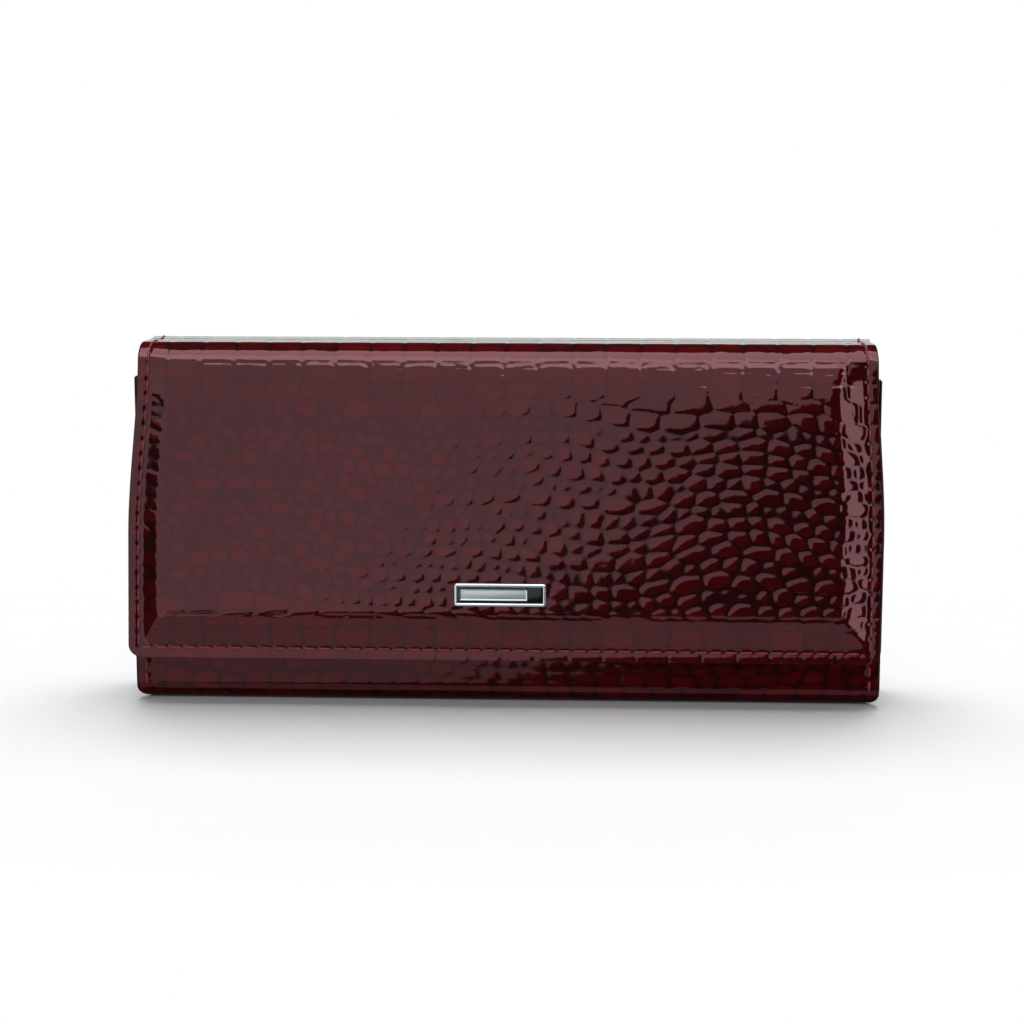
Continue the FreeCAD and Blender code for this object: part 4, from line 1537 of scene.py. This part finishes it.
def add_bump(tree, shader, height, strength, distance):
    """Feed a height into the shader's normal."""
    bump = tree.nodes.new("ShaderNodeBump")
    bump.inputs["Strength"].default_value = strength
    bump.inputs["Distance"].default_value = distance
    tree.links.new(height, bump.inputs["Height"])
    tree.links.new(bump.outputs[0], shader.inputs["Normal"])


def stored(tree, name):
    """The socket of a number stored on the piece's points."""
    node = tree.nodes.new("ShaderNodeAttribute")
    node.attribute_name = name
    return node.outputs["Fac"]


def make_patent_leather(name, gloss):
    """Oxblood patent leather with reptile emboss; gloss is how strongly its coat mirrors."""
    material, tree, shader = new_material(name)
    node = tree.nodes.new("ShaderNodeGroup")
    node.node_tree = patent_group
    tree.links.new(object_place(tree), node.inputs["Position"])
    for number, socket in (("groove", "Groove"), ("tone", "Tone"), ("hue", "Hue"),
                           ("painted_edge", "Edge"), ("needle_hole_shade", "Hole")):
        tree.links.new(stored(tree, number), node.inputs[socket])
    tree.links.new(node.outputs["Colour"], shader.inputs["Base Color"])
    tree.links.new(node.outputs["Roughness"], shader.inputs["Roughness"])
    shader.inputs["Specular IOR Level"].default_value = gloss
    shader.inputs["Specular Tint"].default_value = (1.0, 0.44, 0.50, 1)
    add_bump(tree, shader, node.outputs["Height"], 0.35, 0.00012)
    return material


patent_leather = make_patent_leather("patent_leather_oxblood", 1.0)
# A shaded copy for the front panel: its halved mirror strength is painted shade, for the shade
# below the flap.
shaded_patent_leather = make_patent_leather("patent_leather_front_shaded", 0.5)

# %% [markdown]
# ## The other materials
#
# Every material works from the piece's own coordinates, so that it stays with the piece in
# every pose. The textile, the plain leather and the metals are each one function with a
# few numbers, and the same function serves several slots.

# %% Textile, plain leather, metal and board
def weave_height(tree, place, pitch, skew=0.0):
    """The height of a twill: two crossed sets of threads, one running askew."""
    split = tree.nodes.new("ShaderNodeSeparateXYZ")
    tree.links.new(place, split.inputs[0])
    run = maths(tree, "ADD", split.outputs["Y"], split.outputs["Z"])
    warp = maths(tree, "ADD", split.outputs["X"], maths(tree, "MULTIPLY", run, skew))
    waves = []
    for value in (warp, run):
        waves.append(maths(tree, "SINE", maths(tree, "MULTIPLY", value, 2 * math.pi / pitch)))
    return maths(tree, "MULTIPLY", waves[0], waves[1])


def make_textile(name, colour, dark, pitch, roughness=0.75):
    """A woven cloth: twill relief, lint and slow changes of tone."""
    material, tree, shader = new_material(name)
    place = object_place(tree)
    height = weave_height(tree, place, pitch, 0.5)
    tone = maths(tree, "MULTIPLY_ADD", height, 0.25, True)
    tone.node.inputs[2].default_value = 0.5
    cloud = noise(tree, place, 60.0, 3.0)
    mixed = maths(tree, "MULTIPLY", maths(tree, "ADD", tone, cloud), 0.6, True)
    tree.links.new(mix_colour(tree, mixed, dark, colour), shader.inputs["Base Color"])
    shader.inputs["Roughness"].default_value = roughness
    shader.inputs["Specular IOR Level"].default_value = 0.35
    add_bump(tree, shader, height, 0.5, pitch * 0.16)
    return material


def make_plain_leather(name, colour, dark, roughness):
    """Smooth calf: fine pebble grain, pores and a hand-worn sheen."""
    material, tree, shader = new_material(name)
    place = object_place(tree)
    grain = tree.nodes.new("ShaderNodeTexVoronoi")
    grain.feature = "SMOOTH_F1"
    grain.inputs["Scale"].default_value = 1500.0
    tree.links.new(place, grain.inputs["Vector"])
    cloud = noise(tree, place, 90.0, 4.0)
    tree.links.new(mix_colour(tree, cloud, dark, colour), shader.inputs["Base Color"])
    rough = maths(tree, "MULTIPLY_ADD", cloud, 0.18)
    rough.node.inputs[2].default_value = roughness
    tree.links.new(rough, shader.inputs["Roughness"])
    height = maths(tree, "ADD", grain.outputs["Distance"], maths(tree, "MULTIPLY", cloud, 0.8))
    add_bump(tree, shader, height, 0.35, 0.00010)
    return material


def make_metal(name, colour, roughness, brushed=0.0):
    """Polished or satin metal. brushed stretches fine scratches along X."""
    material, tree, shader = new_material(name)
    place = object_place(tree)
    stretch = tree.nodes.new("ShaderNodeVectorMath")
    stretch.operation = "MULTIPLY"
    stretch.inputs[1].default_value = (60, 4000, 4000) if brushed else (300, 300, 300)
    tree.links.new(place, stretch.inputs[0])
    scratch = noise(tree, stretch.outputs[0], 1.0, 3.0)
    rough = maths(tree, "MULTIPLY_ADD", scratch, 0.10 + brushed * 0.3)
    rough.node.inputs[2].default_value = roughness
    tree.links.new(rough, shader.inputs["Roughness"])
    shader.inputs["Base Color"].default_value = (*colour, 1)
    shader.inputs["Metallic"].default_value = 1.0
    if brushed:
        add_bump(tree, shader, scratch, brushed, 0.00002)
    return material


def make_thread_material():
    """Two twisted plies: the stored strand number turns into slanting ridges."""
    material, tree, shader = new_material("thread_oxblood")
    twist = maths(tree, "SINE", maths(tree, "MULTIPLY", stored(tree, "strand"), 4 * math.pi))
    tone = maths(tree, "MULTIPLY_ADD", twist, 0.3, True)
    tone.node.inputs[2].default_value = 0.6
    colour = mix_colour(tree, tone, (0.150, 0.009, 0.019, 1), (0.400, 0.028, 0.050, 1))
    tree.links.new(colour, shader.inputs["Base Color"])
    shader.inputs["Roughness"].default_value = 0.45
    add_bump(tree, shader, twist, 0.6, 0.00006)
    return material


def make_enamel():
    """Poured black enamel with the faintest orange peel."""
    material, tree, shader = new_material("black_enamel")
    place = object_place(tree)
    shader.inputs["Base Color"].default_value = (0.006, 0.005, 0.006, 1)
    shader.inputs["Roughness"].default_value = 0.06
    add_bump(tree, shader, noise(tree, place, 500.0, 1.0), 0.1, 0.00005)
    return material


def make_board():
    """Fibre board with flecks, dyed through to match the painted edges."""
    material, tree, shader = new_material("fibre_board")
    fleck = noise(tree, object_place(tree), 700.0, 4.0, 0.7)
    colour = mix_colour(tree, fleck, (0.022, 0.007, 0.008, 1), (0.050, 0.016, 0.018, 1))
    tree.links.new(colour, shader.inputs["Base Color"])
    shader.inputs["Roughness"].default_value = 0.9
    add_bump(tree, shader, fleck, 0.4, 0.0001)
    return material


def make_foam():
    """Dark open-cell foam."""
    material, tree, shader = new_material("foam_pad")
    cells = tree.nodes.new("ShaderNodeTexVoronoi")
    cells.inputs["Scale"].default_value = 1100.0
    tree.links.new(object_place(tree), cells.inputs["Vector"])
    colour = mix_colour(
        tree, cells.outputs["Distance"], (0.030, 0.028, 0.028, 1), (0.075, 0.070, 0.068, 1)
    )
    tree.links.new(colour, shader.inputs["Base Color"])
    shader.inputs["Roughness"].default_value = 0.95
    add_bump(tree, shader, cells.outputs["Distance"], 0.6, 0.0003)
    return material


finishes = {
    "patent_leather": patent_leather,
    "gusset_leather": make_plain_leather(
        "gusset_leather_dark", (0.040, 0.010, 0.012, 1), (0.018, 0.005, 0.006, 1), 0.38
    ),
    "slot_leather": make_plain_leather(
        "pocket_leather_oxblood", (0.115, 0.014, 0.020, 1), (0.066, 0.008, 0.012, 1), 0.30
    ),
    "lining": make_textile(
        "lining_twill", (0.085, 0.014, 0.020, 1), (0.036, 0.006, 0.009, 1), 0.0007
    ),
    "tape": make_textile(
        "zipper_tape_weave", (0.060, 0.010, 0.014, 1), (0.024, 0.004, 0.006, 1), 0.0009
    ),
    "board": make_board(),
    "foam": make_foam(),
    "thread": make_thread_material(),
    "chrome": make_metal("polished_chrome", (0.90, 0.90, 0.92), 0.04),
    "enamel": make_enamel(),
    "satin_metal": make_metal("satin_bar", (0.60, 0.59, 0.60), 0.30, 0.4),
    "snap_metal": make_metal("nickel", (0.66, 0.64, 0.60), 0.16),
    "zip_metal": make_metal("zip_nickel", (0.62, 0.58, 0.52), 0.20),
}

# %% Give every piece its material
# The front panel has the same leather as the flap, with half of its mirror strength:
# a shaded copy, which paints in the shade that the front panel lies in below the flap.
kept_nodes = {
    "back_board": "board", "front_board": "board", "flap_board": "board",
    "snap_rivet": "snap_metal", "snap_eyelet": "snap_metal",
}
for name, slot in kept_nodes.items():
    node = frame["nodes"][name]
    node.data.materials.clear()
    node.data.materials.append(finishes[slot])
for piece in bpy.data.objects:
    slot = piece.get("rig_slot")
    if piece.type == "MESH" and slot in finishes and "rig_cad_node" not in piece:
        piece.data.materials.clear()
        piece.data.materials.append(finishes[slot])
front_skin.data.materials[0] = shaded_patent_leather

# %% [markdown]
# ## Camera and studio
#
# The camera stands in front of the wallet, a little above it and a little to its right.
# The light is a product studio in which most soft panels are only seen as reflections in
# the lacquer and two only light: one high behind the wallet and one in front. The panels
# that are mirrored are slightly blue-green, because the lacquer tints what it mirrors. The
# pale floor fades into white and is not mirrored.

# %% Camera
VIEW_DISTANCE = 600.0
VIEW_AZIMUTH = 2.7
VIEW_ELEVATION = 9.5
FIELD_WIDTH = 255.6
AIM = np.array([1.35, 0.0, 48.1])


def make_camera():
    """A camera at the viewing angle, aimed at AIM, that takes in FIELD_WIDTH millimetres."""
    azimuth, elevation = math.radians(VIEW_AZIMUTH), math.radians(VIEW_ELEVATION)
    back = np.array([
        math.sin(azimuth) * math.cos(elevation),
        -math.cos(azimuth) * math.cos(elevation),
        math.sin(elevation),
    ])
    data = bpy.data.cameras.new("studio_camera")
    camera = bpy.data.objects.new("studio_camera", data)
    bpy.context.scene.collection.objects.link(camera)
    place = AIM + back * VIEW_DISTANCE
    camera.location = (place * MM).tolist()
    camera.rotation_mode = "QUATERNION"
    camera.rotation_quaternion = Vector((-back).tolist()).to_track_quat("-Z", "Y")
    data.sensor_width = 36.0
    data.lens = 36.0 * (VIEW_DISTANCE + MARGIN_FACE) / FIELD_WIDTH
    data.clip_start = 0.05
    data.clip_end = 50.0
    return camera


camera = make_camera()
bpy.context.scene.camera = camera
bpy.context.scene.view_settings.view_transform = "Standard"
print("lens", round(camera.data.lens, 1))


# %% Lights
PANEL_COLOUR = (0.88, 1.0, 1.0)
WALLET_MIDDLE = Vector((0, 0, 50 * MM))


def soft_panel(name, place, size, radiance, roll=0.0, mirrored=True, lighting=True):
    """A rectangular soft light at (azimuth, elevation, distance), turned to face the wallet.

    A panel of area A that gives P watts shines with P / (pi A) in every direction.
    """
    azimuth, elevation, distance = place
    width, height = size
    a, e = math.radians(azimuth), math.radians(elevation)
    back = Vector((math.sin(a) * math.cos(e), -math.cos(a) * math.cos(e), math.sin(e)))
    data = bpy.data.lights.new(name, "AREA")
    data.shape = "RECTANGLE"
    data.size = width
    data.size_y = height
    data.energy = radiance * math.pi * width * height
    data.color = PANEL_COLOUR if mirrored else (1.0, 1.0, 1.0)
    light = bpy.data.objects.new(name, data)
    bpy.context.scene.collection.objects.link(light)
    light.location = back * distance + WALLET_MIDDLE
    turn = (-back).to_track_quat("-Z", "Y").to_matrix()
    turn = turn @ Matrix.Rotation(math.radians(roll), 3, "Z")
    light.rotation_mode = "QUATERNION"
    light.rotation_quaternion = turn.to_quaternion()
    light.visible_glossy = mirrored
    light.visible_diffuse = lighting
    return light


soft_panel("overhead_mirror", (18, 56, 0.95), (1.7, 1.05), 2.5, -24, lighting=False)
soft_panel("overhead_light", (180, 76, 1.0), (0.9, 0.8), 5.2, mirrored=False)
soft_panel("front_light", (0, 40, 1.1), (0.8, 0.5), 1.3, mirrored=False)
soft_panel("right_strip", (46, 4, 0.85), (0.16, 0.85), 2.0, lighting=False)
soft_panel("front_left_panel", (-22.5, 13, 1.2), (1.6, 2.16), 0.80, -41, lighting=False)
soft_panel("low_panel", (0, -48, 1.0), (1.8, 0.6), 0.45, lighting=False)
soft_panel("left_fill", (-96, 14.5, 1.0), (0.5, 0.75), 0.5, lighting=False)
soft_panel("back_panel", (180, 12, 1.2), (2.2, 0.5), 0.95, lighting=False)


def make_world():
    """White to the eye, and a dim even grey to everything that is lit or mirrored."""
    world = bpy.data.worlds.new("studio")
    bpy.context.scene.world = world
    world.use_nodes = True
    tree = world.node_tree
    tree.nodes.clear()
    seen = tree.nodes.new("ShaderNodeBackground")
    seen.inputs["Color"].default_value = (1, 1, 1, 1)
    lit = tree.nodes.new("ShaderNodeBackground")
    lit.inputs["Color"].default_value = (0.20, 0.20, 0.215, 1)
    mirrored = tree.nodes.new("ShaderNodeBackground")
    mirrored.inputs["Color"].default_value = (0.02, 0.02, 0.02, 1)
    path = tree.nodes.new("ShaderNodeLightPath")
    first = tree.nodes.new("ShaderNodeMixShader")
    second = tree.nodes.new("ShaderNodeMixShader")
    output = tree.nodes.new("ShaderNodeOutputWorld")
    tree.links.new(path.outputs["Is Glossy Ray"], first.inputs[0])
    tree.links.new(lit.outputs[0], first.inputs[1])
    tree.links.new(mirrored.outputs[0], first.inputs[2])
    tree.links.new(path.outputs["Is Camera Ray"], second.inputs[0])
    tree.links.new(first.outputs[0], second.inputs[1])
    tree.links.new(seen.outputs[0], second.inputs[2])
    tree.links.new(second.outputs[0], output.inputs[0])


make_world()


# %% Floor
FADE_START, FADE_END = 0.085, 0.20


def make_floor():
    """A pale round floor under the wallet that fades out into the white backdrop."""
    angle = np.linspace(0, 2 * math.pi, 97)[:-1]
    rings = [0.0001, 300.0, 800.0, 1500.0]
    points = np.concatenate([
        np.stack([r * np.cos(angle), r * np.sin(angle), 0 * angle - 0.02], axis=1)
        for r in rings
    ])
    count = len(angle)
    k = np.arange(count)
    faces = []
    for ring in range(len(rings) - 1):
        a = ring * count + k
        b = ring * count + (k + 1) % count
        faces += np.stack([a, a + count, b + count, b], axis=1).tolist()
    floor = new_mesh("studio_floor", points, faces)
    material, tree, shader = new_material("pale_floor")
    shader.inputs["Base Color"].default_value = (0.90, 0.90, 0.905, 1)
    shader.inputs["Roughness"].default_value = 0.6
    shader.inputs["Specular IOR Level"].default_value = 0.1
    place = object_place(tree)
    oval = tree.nodes.new("ShaderNodeVectorMath")
    oval.operation = "MULTIPLY"
    oval.inputs[1].default_value = (0.75, 1.3, 1.0)
    tree.links.new(place, oval.inputs[0])
    distance = tree.nodes.new("ShaderNodeVectorMath")
    distance.operation = "LENGTH"
    tree.links.new(oval.outputs[0], distance.inputs[0])
    fade = tree.nodes.new("ShaderNodeMapRange")
    fade.inputs["From Min"].default_value = FADE_START
    fade.inputs["From Max"].default_value = FADE_END
    fade.inputs["To Min"].default_value = 1.0
    fade.inputs["To Max"].default_value = 0.0
    tree.links.new(distance.outputs["Value"], fade.inputs["Value"])
    tree.links.new(fade.outputs[0], shader.inputs["Alpha"])
    floor.data.materials.append(material)
    floor.visible_glossy = False
    return floor


make_floor()
